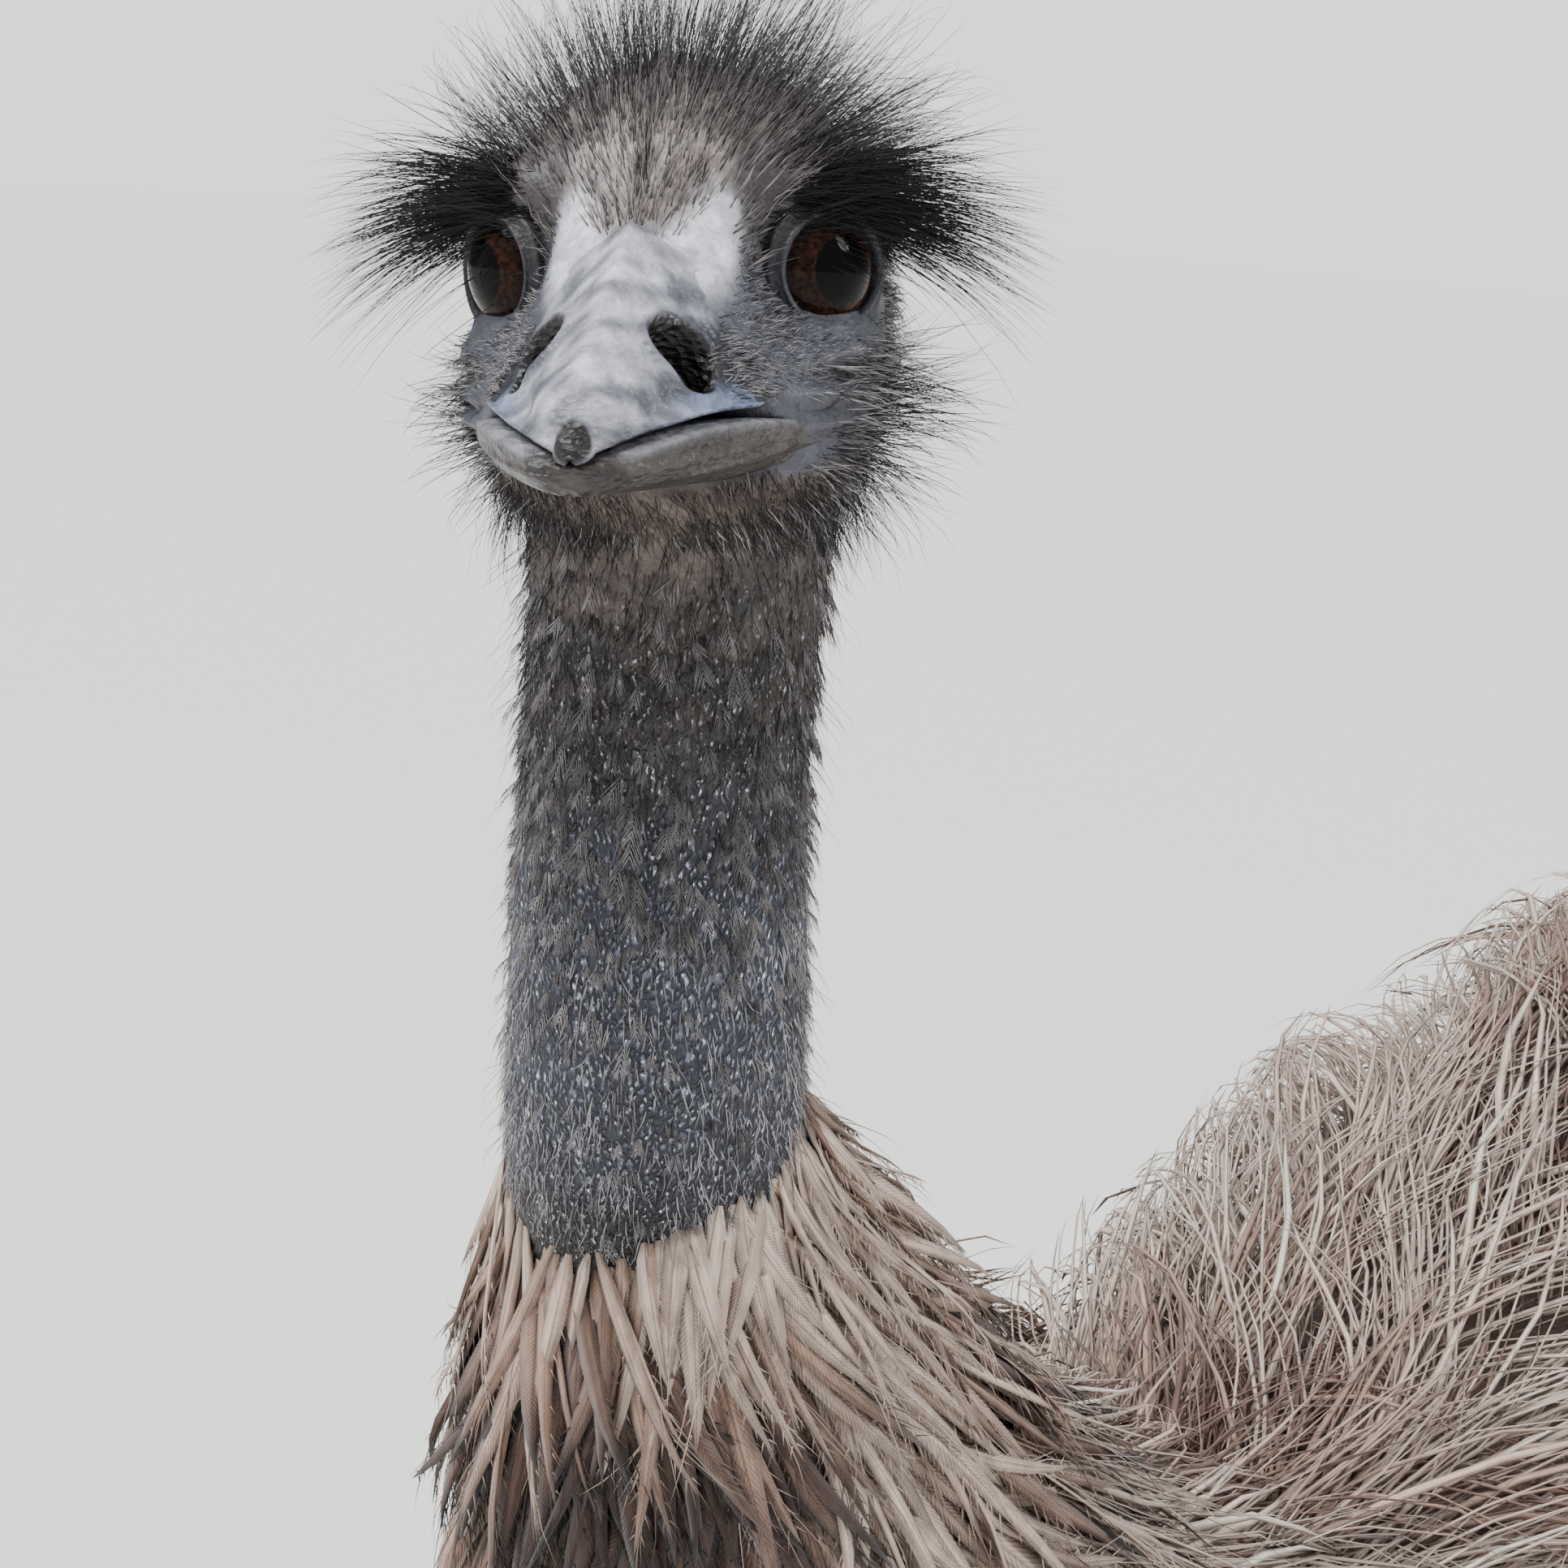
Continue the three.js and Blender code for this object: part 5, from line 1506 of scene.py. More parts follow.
def group_tree(name, inputs, outputs):
    """A new node group: its nodes, its own inputs and the node that takes its outputs."""
    tree = bpy.data.node_groups.new(name, "ShaderNodeTree")
    for label, kind, value in inputs:
        made = tree.interface.new_socket(name=label, in_out="INPUT", socket_type="NodeSocket" + kind)
        if value is not None:
            made.default_value = value
    for label, kind in outputs:
        tree.interface.new_socket(name=label, in_out="OUTPUT", socket_type="NodeSocket" + kind)
    given = tree.nodes.new("NodeGroupInput")
    return Nodes(tree), given.outputs, tree.nodes.new("NodeGroupOutput")


def make_pore_group():
    """Fine wrinkles and pores of bare skin: a value for the height, and one for the painted shade and light
    that follow the folds.
    """
    nodes, given, taken = group_tree(
        "Skin pores",
        [("Vector", "Vector", None), ("Scale", "Float", 900.0)],
        [("Height", "Float"), ("Fold shade", "Float")],
    )
    cells = nodes.cells(given["Vector"], given["Scale"])
    folds = nodes.noise(given["Vector"], nodes.times(given["Scale"], 0.33), 5.0, 0.6, 0.6)
    nodes.set(taken, "Height", nodes.plus(nodes.times(cells, 0.6), nodes.times(folds, 0.8)))
    # The fold shade follows the same folds as the height: painted shade in the furrows and painted light on
    # the crests
    nodes.set(taken, "Fold shade", nodes.span(folds, 0.3, 0.7))


def make_strand_group():
    """Tone of a feather strand or vane: lengthwise streaks, as fine as Fine asks for across a vane."""
    nodes, given, taken = group_tree(
        "Strand tone",
        [("Colour", "Color", None), ("Streak", "Float", 0.3), ("Fine", "Float", 0.0)],
        [("Colour", "Color"), ("Rough", "Float"), ("Height", "Float")],
    )
    tone = nodes.attribute("tone")
    over = nodes.times(nodes.attribute("across"), given["Fine"])
    run = nodes.times(nodes.attribute("along"), 2.2)
    lane = nodes.add("CombineXYZ", {0: nodes.plus(over, nodes.times(tone, 90.0)), 1: run}).outputs[0]
    streaks = nodes.noise(lane, 1.0, 3.0, 0.6, 0.4)
    noise = nodes.noise(nodes.stretch(nodes.place(), 420.0, 250.0, 150.0), 1.0, 3.0)
    both = nodes.plus(nodes.times(noise, 0.4), nodes.times(streaks, 0.6))
    shade = nodes.span(nodes.plus(both, nodes.times(tone, 0.15)), 0.38, 0.74)
    deep = nodes.dimmed(given["Colour"], 0.25, 0.22, 0.2)
    nodes.set(taken, "Colour", nodes.blend(nodes.times(shade, given["Streak"]), given["Colour"], deep))
    nodes.set(taken, "Rough", nodes.span(noise, 0.2, 0.8, 0.5, 0.8))
    nodes.set(taken, "Height", streaks)


def skin_look(nodes):
    """Bare skin: wrinkles and pores, lighter on their crests and darker in their furrows as painted light and
    shade; pale flecks and dark lines on the neck, dark as painted shade in its grooves; and scales on the
    legs, darker between them as painted shade.
    """
    place = nodes.place()
    colour = nodes.attribute("coat", "Color")
    rows = nodes.attribute("wrinkle")
    scaly = nodes.attribute("scaly")
    pores = nodes.group("Skin pores", Vector=place, Scale=1100.0)
    wavy = nodes.stretch(nodes.waver(place, 160.0, 0.004), 1.0, 1.0, 0.4)
    streak = nodes.span(nodes.cells(wavy, 760.0, "DISTANCE_TO_EDGE"), 0.02, 0.3)
    plates = nodes.stretch(place, 1.0, 1.0, 0.85)
    scale = nodes.span(nodes.cells(plates, 230.0, "DISTANCE_TO_EDGE"), 0.02, 0.16)
    flecks = nodes.span(nodes.noise(nodes.stretch(place, 1.0, 1.0, 0.45), 1300.0, 2.0, 0.7), 0.56, 0.64)
    dark = nodes.blend(0.55, nodes.dimmed(colour, 0.42, 0.42, 0.46), colour)
    # Painted shade in the furrows and painted light on the crests of the folds
    tone = nodes.blend(pores["Fold shade"], dark, nodes.dimmed(colour, 1.35, 1.33, 1.30))
    flecked = nodes.blend(flecks, colour, (0.84, 0.89, 0.97, 1))
    # Painted shade: the neck's lines are darkened in their grooves, among pale flecks
    tone = nodes.blend(rows, tone, nodes.blend(streak, nodes.dimmed(colour, 0.16, 0.16, 0.18), flecked))
    # Painted shade: the leg skin is darkened in the grooves between its scales
    tone = nodes.blend(scaly, tone, nodes.blend(scale, nodes.dimmed(colour, 0.35, 0.32, 0.3), tone))
    fine = nodes.bump(pores["Height"], 0.00035, 0.7)
    lines = nodes.bump(nodes.times(streak, rows), 0.0014, 1.0, fine)
    return {
        "Base Color": tone,
        "Roughness": nodes.span(pores["Height"], 0.2, 1.0, 0.62, 0.48),
        "Normal": nodes.bump(nodes.times(scale, scaly), 0.0008, 0.9, lines),
    }


def strand_look(nodes, streak, sheen, fine=0.0):
    """Hairs and strands, with lengthwise streaks."""
    group = nodes.group("Strand tone", Colour=nodes.attribute("coat", "Color"), Streak=streak, Fine=fine)
    look = {"Base Color": group["Colour"], "Roughness": group["Rough"], "Sheen Weight": sheen}
    if fine:
        look["Normal"] = nodes.bump(group["Height"], 0.0022, 0.8)
    return look | {"Specular IOR Level": 0.3}


def ruff_look(nodes):
    """Feather vanes with fine slanting barbs and a thin dark shaft."""
    group = nodes.group("Strand tone", Colour=nodes.attribute("coat", "Color"), Streak=0.7, Fine=4.0)
    run = nodes.attribute("along")
    across = nodes.math("ABSOLUTE", nodes.attribute("across"))
    slant = nodes.math("SUBTRACT", nodes.times(run, 46.0), nodes.times(across, 3.2))
    lines = nodes.span(nodes.math("SINE", nodes.times(slant, 6.283)), -0.4, 0.8)
    shaft = nodes.span(across, 0.03, 0.14, 1.0, 0.0)
    dark = nodes.dimmed(group["Colour"], 0.5, 0.46, 0.44)
    faint = nodes.blend(nodes.span(run, 0.35, 0.8, 0.15, 0.8), group["Colour"], dark)
    colour = nodes.blend(lines, faint, group["Colour"])
    return {
        "Base Color": nodes.blend(nodes.times(shaft, 0.5), colour, (0.06, 0.045, 0.04, 1)),
        "Roughness": group["Rough"],
        "Normal": nodes.bump(lines, 0.0003, 0.6),
        "Sheen Weight": 0.15,
        "Specular IOR Level": 0.3,
    }


def bill_look(nodes):
    """Worn horn, pale and dull in patches, with fine ripples."""
    place = nodes.place()
    colour = nodes.attribute("coat", "Color")
    pores = nodes.group("Skin pores", Vector=nodes.stretch(place, 1.0, 1.0, 1.6), Scale=520.0)
    worn = nodes.span(nodes.noise(place, 190.0, 6.0, 0.6, 0.8), 0.35, 0.75)
    fine = nodes.noise(nodes.stretch(place, 1.0, 1.0, 2.2), 900.0, 5.0, 0.6, 0.8)
    dull = nodes.dimmed(colour, 0.66, 0.65, 0.66)
    tone = nodes.blend(worn, dull, nodes.dimmed(colour, 1.15, 1.15, 1.16))
    ripples = nodes.bump(pores["Height"], 0.0011, 0.9)
    return {
        "Base Color": nodes.blend(nodes.span(fine, 0.3, 0.7, 0.35, 0.0), tone, dull),
        "Roughness": nodes.span(worn, 0.0, 1.0, 0.34, 0.52),
        "Normal": nodes.bump(fine, 0.0002, 0.6, ripples),
    }


def eye_look(nodes):
    """A brown iris round a black pupil, under a clear wet coat."""
    off = nodes.attribute("off_axis")
    streaks = nodes.noise(nodes.place(), 900.0, 4.0, 0.6, 0.5)
    deep = paint_of(looks().iris, 0.12)
    ring = nodes.blend(nodes.span(streaks, 0.35, 0.7), deep, paint_of(looks().iris))
    rim = nodes.blend(nodes.span(off, 0.56, 0.72), ring, deep)
    colour = nodes.blend(nodes.span(off, 0.38, 0.42), (0.002, 0.002, 0.002, 1), rim)
    return {
        "Base Color": nodes.blend(nodes.span(off, 0.74, 0.84), colour, (0.03, 0.028, 0.03, 1)),
        "Roughness": nodes.span(streaks, 0.0, 1.0, 0.05, 0.09),
        "Coat Weight": 0.14,
        "Coat Roughness": 0.015,
        "Coat IOR": 1.38,
        "Specular IOR Level": 0.05,
    }


def claw_look(nodes):
    """Dark horn with paler worn grain."""
    grain = nodes.noise(nodes.stretch(nodes.place(), 1.0, 0.3, 1.0), 420.0, 5.0, 0.6, 0.4)
    worn = paint_of(np.minimum(1, np.array(looks().claw) * 2.6 + 0.03))
    return {
        "Base Color": nodes.blend(nodes.span(grain, 0.5, 0.8), paint_of(looks().claw), worn),
        "Roughness": nodes.span(grain, 0.2, 0.8, 0.3, 0.55),
        "Normal": nodes.bump(grain, 0.0004, 0.7),
    }


def scute_look(nodes):
    """Plates of the legs, darker at their lower edges."""
    base = paint_of(looks().leg_skin)
    grain = nodes.noise(nodes.place(), 260.0, 5.0, 0.6, 0.5)
    edge = nodes.span(nodes.attribute("along"), 0.75, 1.0, 0.0, 0.7)
    tone = nodes.blend(nodes.span(grain, 0.35, 0.7), base, nodes.dimmed(base, 1.35, 1.3, 1.2))
    return {
        "Base Color": nodes.blend(edge, tone, nodes.dimmed(base, 0.42, 0.4, 0.38)),
        "Roughness": nodes.span(grain, 0.2, 0.8, 0.42, 0.65),
        "Normal": nodes.bump(grain, 0.0006, 0.7),
    }


def floor_look(nodes):
    return {"Base Color": paint_of(bpy.context.scene.emu_stage.floor_colour), "Roughness": 0.9}


# Skin

def flesh_object():
    """One closed skin: a fine head and neck, a plain trunk and fine legs, fused where plumage covers them."""
    skin = remeshed("skin", [head_flesh(), neck_flesh()], "head")
    put_points(skin.data, shape_head(points_of(skin.data), vertex_vectors(skin.data, "normal")))
    skin = fused(skin, remeshed("trunk", trunk_flesh(), "trunk"))
    for sign in (1, -1):
        skin = fused(skin, remeshed("leg", leg_flesh(sign), "leg"))
    return skin


def skin_markings(points):
    """Colour, wrinkled share and scaly share of the skin at its points."""
    on_neck = smooth(790, 850, points[:, 2]) * smooth(-330, -400, points[:, 1])
    # The trunk gets the dark body skin, painted shade for the gaps between the locks
    colour = paint(np.broadcast_to(tint("body_skin_shade"), points.shape), neck_colour(points), on_neck)
    local = to_head(points)
    level = 0.35 * local[:, 0] + 0.94 * local[:, 2]
    on_head = smooth(-62, -44, level) * (local[:, 0] > -100) * (local[:, 2] > -90)
    colour = paint(colour, head_colour(local), on_head)
    on_leg = smooth(455, 425, points[:, 2])
    leg = tint("leg_skin") * (0.85 + 0.2 * lumps(points, 70.0, 9))[:, None]
    wrinkle = on_neck * (1 - on_head) * smooth(0.2, 1.4, neck_place_of(points))
    return np.clip(paint(colour, leg, on_leg), 0, 1), wrinkle, on_leg


def leg_nodes():
    names = []
    for side, _ in SIDES:
        names += [f"{part}_{side}" for part in ("thigh", "shank", "foot", "wing")]
        names += [f"toe_{toe}_{side}" for toe in TOES]
    return names


class EMU_OT_skin(bpy.types.Operator):
    """Make the bare skin of the whole bird."""

    bl_idname = "emu.skin"
    bl_label = "Skin"

    def execute(self, context):
        make_pore_group()
        make_strand_group()
        skin = flesh_object()
        mesh = skin.data
        colour, wrinkle, scaly = skin_markings(points_of(mesh))
        give_colour(mesh, "coat", colour)
        give_value(mesh, "wrinkle", wrinkle)
        give_value(mesh, "scaly", scaly)
        mesh.polygons.foreach_set("use_smooth", np.ones(len(mesh.polygons), bool))
        mesh.materials.clear()
        mesh.materials.append(material_of("emu_skin", skin_look))
        nodes = ["head", "neck_upper", "neck_ruff", "torso", "tail"] + leg_nodes()
        finish_piece(skin, "neck_skin", *nodes)
        return {"FINISHED"}


# Bill

def upper_bill_rings():
    """Rings of the upper bill: over its back from lip to lip, and under it."""
    ats = np.concatenate([np.linspace(13, 66, 88), np.linspace(66.5, 77, 28)])
    over = np.linspace(-1, 1, 101)
    back = np.linspace(1, -1, 25)[1:-1]
    wide = np.abs(over)
    rings = []
    for at in ats:
        nose = math.sqrt(1 - (max(0.0, at - 73.4) / 3.7) ** 2)
        edge = along(MOUTH_LINE, "up", at)
        half = (along(HEAD, "half", min(at, 73.4)) - 1.4 * smooth(14, 30, at)) * nose
        top = edge + (along(HEAD, "top", min(at, 74)) + 0.5 - edge) * nose
        sunk = smooth(5, -3, at - 22 - 9 * wide**1.4 + 6 * bell(wide, 0.42, 0.2)) * 2.4
        power = 2 / along(HEAD, "square", min(at, 74))
        side = np.sign(over) * np.abs(np.sin(over * np.pi / 2)) ** power * half
        height = edge + (top - edge) * np.clip(np.cos(over * np.pi / 2), 0, 1) ** power
        front = smooth(14, 28, at) * smooth(71, 58, at)
        height = height + front * (1.3 * bell(side, 0, 4.5) - 0.9 * bell(side, 0, 12) * bell(at, 60, 12))
        dent = front * bell(wide, 0.74, 0.12) * 1.7
        lip = smooth(14, 30, at) * smooth(75, 62, at) * bell(wide, 0.965, 0.035)
        side = side - np.sign(over) * (dent - 1.0 * lip + face_hollow(at, side, height))
        side = side * (1 - sunk / 40)
        height = height - sunk * np.cos(over * np.pi / 2) - 0.4 * dent + 0.9 * lip
        under = edge + 1.4 * (1 - back**2) + 0.25
        across = np.concatenate([side, back * half * 0.96])
        rings.append(np.stack([np.full(len(across), at), across, np.concatenate([height, under])], axis=-1))
    return np.array(rings)


def dig_nostrils(local):
    """Sinks the two nostrils and raises their rims, and gives how much painted shade darkens each point
    inside them.
    """
    dark = np.zeros(local.shape[:-1])
    for sign in (1, -1):
        away = local - np.array([NOSTRIL["forward"], sign * NOSTRIL["side"], NOSTRIL["up"]])
        reach = np.linalg.norm(away / np.array([NOSTRIL["long"], NOSTRIL["wide"], NOSTRIL["high"]]), axis=-1)
        above = smooth(0.8, 2.2, above_mouth(local))
        hole = smooth(1.0, 0.7, reach) * above
        rim = bell(reach, 1.12, 0.13) * above
        inward = np.array([-0.3, -0.55 * sign, -0.78])
        local = local + inward * (hole * NOSTRIL["deep"] - rim * 0.9)[..., None]
        dark = np.maximum(dark, smooth(1.14, 1.0, reach) * above)
    return local, dark


def lower_bill_rings():
    """Rings of the lower bill, with a shallow dish above and folds below."""
    ats = np.concatenate([np.linspace(7, 66, 64), np.linspace(67, 75.4, 16)])
    round_at = np.linspace(0, 2 * np.pi, 96, endpoint=False)
    side = np.sin(round_at)
    up = np.cos(round_at)
    rings = []
    for at in ats:
        nose = math.sqrt(1 - (max(0.0, at - 71.0) / 4.6) ** 2)
        top = along(MOUTH_LINE, "up", at) - 0.9
        bottom = top + (-36.4 + 0.1 * max(at - 12, 0) - top) * nose
        half = (along(HEAD, "half", min(at, 71)) + 1.5 * smooth(16, 34, at)) * nose - 0.8 * smooth(16, 8, at)
        middle = top - 1.6
        low = middle - (middle - bottom) * np.abs(up) ** 0.9
        height = np.where(up > 0, middle + 1.6 * np.abs(up) ** 0.6, low)
        dish = np.where(up > 0, 1.0 * (1 - np.abs(side)) * smooth(70, 50, at), 0)
        fold = 0.5 * np.cos(height * 1.9 + at * 0.05) * smooth(0, -0.3, up) * np.abs(side)
        across = np.sign(side) * (np.abs(side) ** 0.8 * half - fold)
        rings.append(np.stack([np.full(len(across), at), across, height - dish], axis=-1))
    return np.array(rings)


def upper_bill_colour(local, cloud):
    """Grey horn, worn pale in clouds, with a pale ridge that is partly painted highlight, a painted highlight
    on one side near the tip, and a bluish lip band that is partly painted highlight; it runs into the face
    behind.
    """
    f, s, _ = np.moveaxis(local, -1, 0)
    side = np.abs(s)
    face = head_colour(local)
    colour = paint(tint("bill") * 0.7, tint("bill_worn"), 0.6 * cloud**1.5)
    flank = smooth(12.5, 17, side + 0.12 * (f - 30)) * smooth(52, 40, f)
    colour = paint(colour, face, flank)
    # Pale along the ridge: partly worn horn, partly a painted highlight on the top; pale lobes by the base;
    # and a painted highlight on one side near the tip
    ridge = bell(s, 0, 6.5) * smooth(18, 32, f) * smooth(76, 66, f)
    worn = ridge + 0.8 * bell(side, 11, 5) * bell(f, 19, 6) + 0.7 * bell(s, -4.5, 2.2) * bell(f, 70, 4)
    colour = paint(colour, tint("bill_worn"), np.clip(worn * (0.3 + 0.9 * cloud), 0, 1))
    # The lip band: a bluish edge, lightened as a painted highlight along its bulge
    lip = bell(above_mouth(local), 2.0, 2.0) * smooth(70, 60, f) * smooth(10, 18, side)
    colour = paint(colour, tint("lip"), 0.9 * lip)
    return paint(colour, face, smooth(7, 0, f - 20 - 9 * np.clip(side / 26, 0, 1) ** 1.4))


def lower_bill_colour(local, cloud):
    """Brown-grey horn with a pale rim, darkened towards its underside as painted shade."""
    f = local[..., 0]
    over = above_mouth(local)
    colour = tint("lower_bill") * (0.14 + 0.3 * cloud[..., None])
    # Painted shade: the horn is darkened towards the underside of the lower bill
    colour = colour * (1 - 0.5 * smooth(-6, -12, over))[..., None]
    rim = bell(over, -1.6, 0.8) * smooth(74, 68, f)
    colour = paint(colour, tint("bill_worn") * 0.55, (0.4 + 0.4 * cloud) * rim)
    return paint(colour, head_colour(local), smooth(20, 10, f))


def bill_object(name, rings, dark, colour_of):
    """A half of the bill from its rings, with its markings, the nail, and painted shade inside the nostrils
    and along the mouth's gap near the tip.
    """
    obj = loft_object(name, from_head(rings))
    local = np.concatenate([rings.reshape(-1, 3), [rings[0].mean(0), rings[-1].mean(0)]])
    f, s, u = local.T
    colour = colour_of(local, 0.5 + 0.5 * lumps(local, 8.0, 15))
    nail = smooth(1.15, 0.85, np.sqrt(((f - 76) / 3.8) ** 2 + (s / 3.6) ** 2 + ((u + 20.8) / 4.0) ** 2))
    colour = paint(colour, tint("bill_dark") * 0.2, nail)
    over = above_mouth(local)
    # Painted shade: a dark line along the gap between the bills near the tip
    mouth_gap_shade = smooth(1.0, 0.2, over) * smooth(-1.4, -0.4, over) * smooth(60, 70, f)
    colour = paint(colour, tint("bill_dark") * 2, 0.6 * mouth_gap_shade)
    # Painted shade: the insides of the nostrils are darkened to near black
    colour = paint(colour, tint("bill_dark") * 0.08, np.concatenate([dark.ravel(), [0, 0]]))
    give_colour(obj.data, "coat", np.clip(colour, 0, 1))
    obj.data.materials.append(material_of("emu_bill", bill_look))
    return link(obj)


class EMU_OT_bill(bpy.types.Operator):
    """Make the upper and lower bill with its nostrils and nail."""

    bl_idname = "emu.bill"
    bl_label = "Bill"

    def execute(self, context):
        upper, dark = dig_nostrils(upper_bill_rings())
        finish_piece(bill_object("upper_bill", upper, dark, upper_bill_colour), "bill_horn", "bill_upper")
        lower = lower_bill_rings()
        none = np.zeros(lower.shape[:-1])
        finish_piece(bill_object("lower_bill", lower, none, lower_bill_colour), "bill_horn", "bill_lower")
        return {"FINISHED"}


# Eyes

def eyeball(sign):
    """A ball with a bulge over its iris."""
    lean = np.concatenate([np.linspace(0.015, 1.2, 48), np.linspace(1.24, 3.12, 26)])
    turn, lean = np.meshgrid(full_turn(72), lean, indexing="xy")
    radius = EYE["radius"] - 0.35 + 0.5 * np.exp(-((lean / 0.5) ** 2))
    centre, way = eye_ways(sign, lean, turn)
    obj = loft_object("eyeball", from_head(centre + radius[..., None] * way))
    off_axis = np.sin(lean).ravel() + (lean.ravel() > 1.57)
    give_value(obj.data, "off_axis", np.concatenate([off_axis, [0, 2]]))
    obj.data.materials.append(material_of("emu_eye", eye_look))
    return link(obj)


def lid_rings(sign, reach, turn):
    """Rings of lid round the opening of an eye: a hidden one, then from its thick rim into the face."""
    opening = math.asin(EYE["opening"] / EYE["radius"])
    lower_lid = smooth(0.2, -0.9, np.sin(turn))
    start = opening * (1 + 0.05 * np.cos(turn * 2) - 0.03 * lower_lid)
    rings = []
    for row, share in enumerate(reach):
        if row == 0:
            lean = start + 0.6
            radius = np.full(len(turn), EYE["radius"] - 3.5)
        else:
            lean = start + share * (1.42 - start)
            rim = 0.7 * bell(share, 0.035, 0.035)
            folds = 0.45 * np.cos(share * 26 - 1.2) * smooth(0.1, 0.3, share) * (0.4 + 0.9 * lower_lid)
            plain = EYE["radius"] - 0.1 + 0.9 * smooth(0, 0.06, share)
            radius = plain + rim + folds + 0.6 * bell(share, 0.3, 0.2)
            radius = radius - 3.2 * smooth(0.55, 1.0, share)
        centre, way = eye_ways(sign, lean, turn)
        rings.append(centre + radius[:, None] * way)
    return np.array(rings)


def lid_object(sign):
    """The lids as one closed ring, whose last row joins its hidden first one."""
    columns = LID["columns"]
    reach = np.concatenate([[1.0, 0.0], np.linspace(0, 1, LID["rows"])[1:]])
    points = lid_rings(sign, reach, full_turn(columns)).reshape(-1, 3)
    quads = grid_faces(len(reach) + 1, columns) % len(points)
    mesh = new_mesh("eyelids", from_head(points), outward(points, halved(quads)))
    share = np.repeat(reach, columns)
    share[:columns] = 0
    # The lids are darker than the face all round, and darker still in the trough of the first fold: that
    # extra darkening is painted shade in the crease
    colour = head_colour(points) * (0.55 - 0.3 * bell(share, 0.16, 0.06))[:, None]
    colour = paint(colour, tint("face_skin"), 0.3 * bell(share, 0.05, 0.035))
    give_colour(mesh, "coat", np.clip(colour, 0, 1))
    give_value(mesh, "wrinkle", 0 * share)
    give_value(mesh, "scaly", 0 * share)
    mesh.materials.append(material_of("emu_skin", skin_look))
    return link(bpy.data.objects.new("eyelids", mesh))


class EMU_OT_eyes(bpy.types.Operator):
    """Make the eyeballs and the lids round them."""

    bl_idname = "emu.eyes"
    bl_label = "Eyes"

    def execute(self, context):
        for name, sign in SIDES:
            ball = eyeball(sign)
            ball.name = f"eyeball_{name}"
            finish_piece(ball, "eye_glass", f"eye_{name}")
            lids = lid_object(sign)
            lids.name = f"eyelids_{name}"
            finish_piece(lids, "head_skin")
        return {"FINISHED"}


# Coat

class EMU_OT_head_hair(bpy.types.Operator):
    """Make the hair-like feathers of crown, brow, cheeks and throat."""

    bl_idname = "emu.head_hair"
    bl_label = "Head hair"

    def execute(self, context):
        material = material_of("emu_hair", strand_look, 0.4, 0.0)
        made = sizes()
        crown = [
            head_strands(11, made.crown_hairs, crown_density, crown_manner, 5),
            head_strands(12, made.brow_hairs, brow_density, brow_manner, 5, 0.25),
            lid_part(1),
            lid_part(-1),
        ]
        down = [
            head_strands(15, made.down_hairs, crown_density, crown_down_manner, 3),
            head_strands(16, made.down_hairs, cheek_density, cheek_down_manner, 3),
            head_strands(17, made.down_hairs // 2, throat_density, throat_down_manner, 3),
        ]
        face = [
            head_strands(18, made.face_hairs, cheek_density, cheek_manner, 4, 0.7),
            head_strands(19, made.face_hairs, face_density, face_manner, 3),
            head_strands(20, made.face_hairs // 4, throat_density, throat_manner),
        ]
        for name, parts in (("crown_hair", crown), ("head_down", down), ("face_hair", face)):
            coat_piece(name, parts, material, "head_skin")
        return {"FINISHED"}


class EMU_OT_neck_coat(bpy.types.Operator):
    """Make the fine hairs and small feathers of the neck."""

    bl_idname = "emu.neck_coat"
    bl_label = "Neck plumage"

    def execute(self, context):
        material = material_of("emu_hair", strand_look, 0.4, 0.0)
        coat_piece("neck_hair", neck_hairs(), material, "neck_skin")
        coat_piece("neck_feathers", neck_feathers(), material, "neck_skin")
        return {"FINISHED"}


class EMU_OT_ruff(bpy.types.Operator):
    """Make the feathers of the ruff."""

    bl_idname = "emu.ruff"
    bl_label = "Ruff"

    def execute(self, context):
        parts = ruff_parts()
        coat_piece("ruff_vanes", parts[:1], material_of("emu_ruff", ruff_look), "ruff_feathers")
        barbs = material_of("emu_barbs", strand_look, 0.25, 0.1)
        coat_piece("ruff_barbs", parts[1:], barbs, "ruff_feathers")
        return {"FINISHED"}


class EMU_OT_body_coat(bpy.types.Operator):
    """Make the shaggy plumage of trunk, rump, thighs and wings."""

    bl_idname = "emu.body_coat"
    bl_label = "Body plumage"

    def execute(self, context):
        material = material_of("emu_plumage", strand_look, 0.4, 0.25, 2.5)
        count = sizes().body_locks // len(TRUNK_ZONES)
        for piece, (low, high) in enumerate(TRUNK_ZONES):
            parts = trunk_parts(piece, low, high, count)
            coat_piece(f"trunk_plumage_{piece + 1}", parts, material, "body_feathers")
        coat_piece("shoulder_plumage", shoulder_parts(), material, "body_feathers")
        coat_piece("rump_plumage", rump_parts(), material, "body_feathers")
        for name, sign in SIDES:
            coat_piece(f"thigh_plumage_{name}", thigh_parts(sign), material, "body_feathers")
            coat_piece(f"wing_plumage_{name}", wing_parts(sign), material, "body_feathers")
        return {"FINISHED"}


# Legs

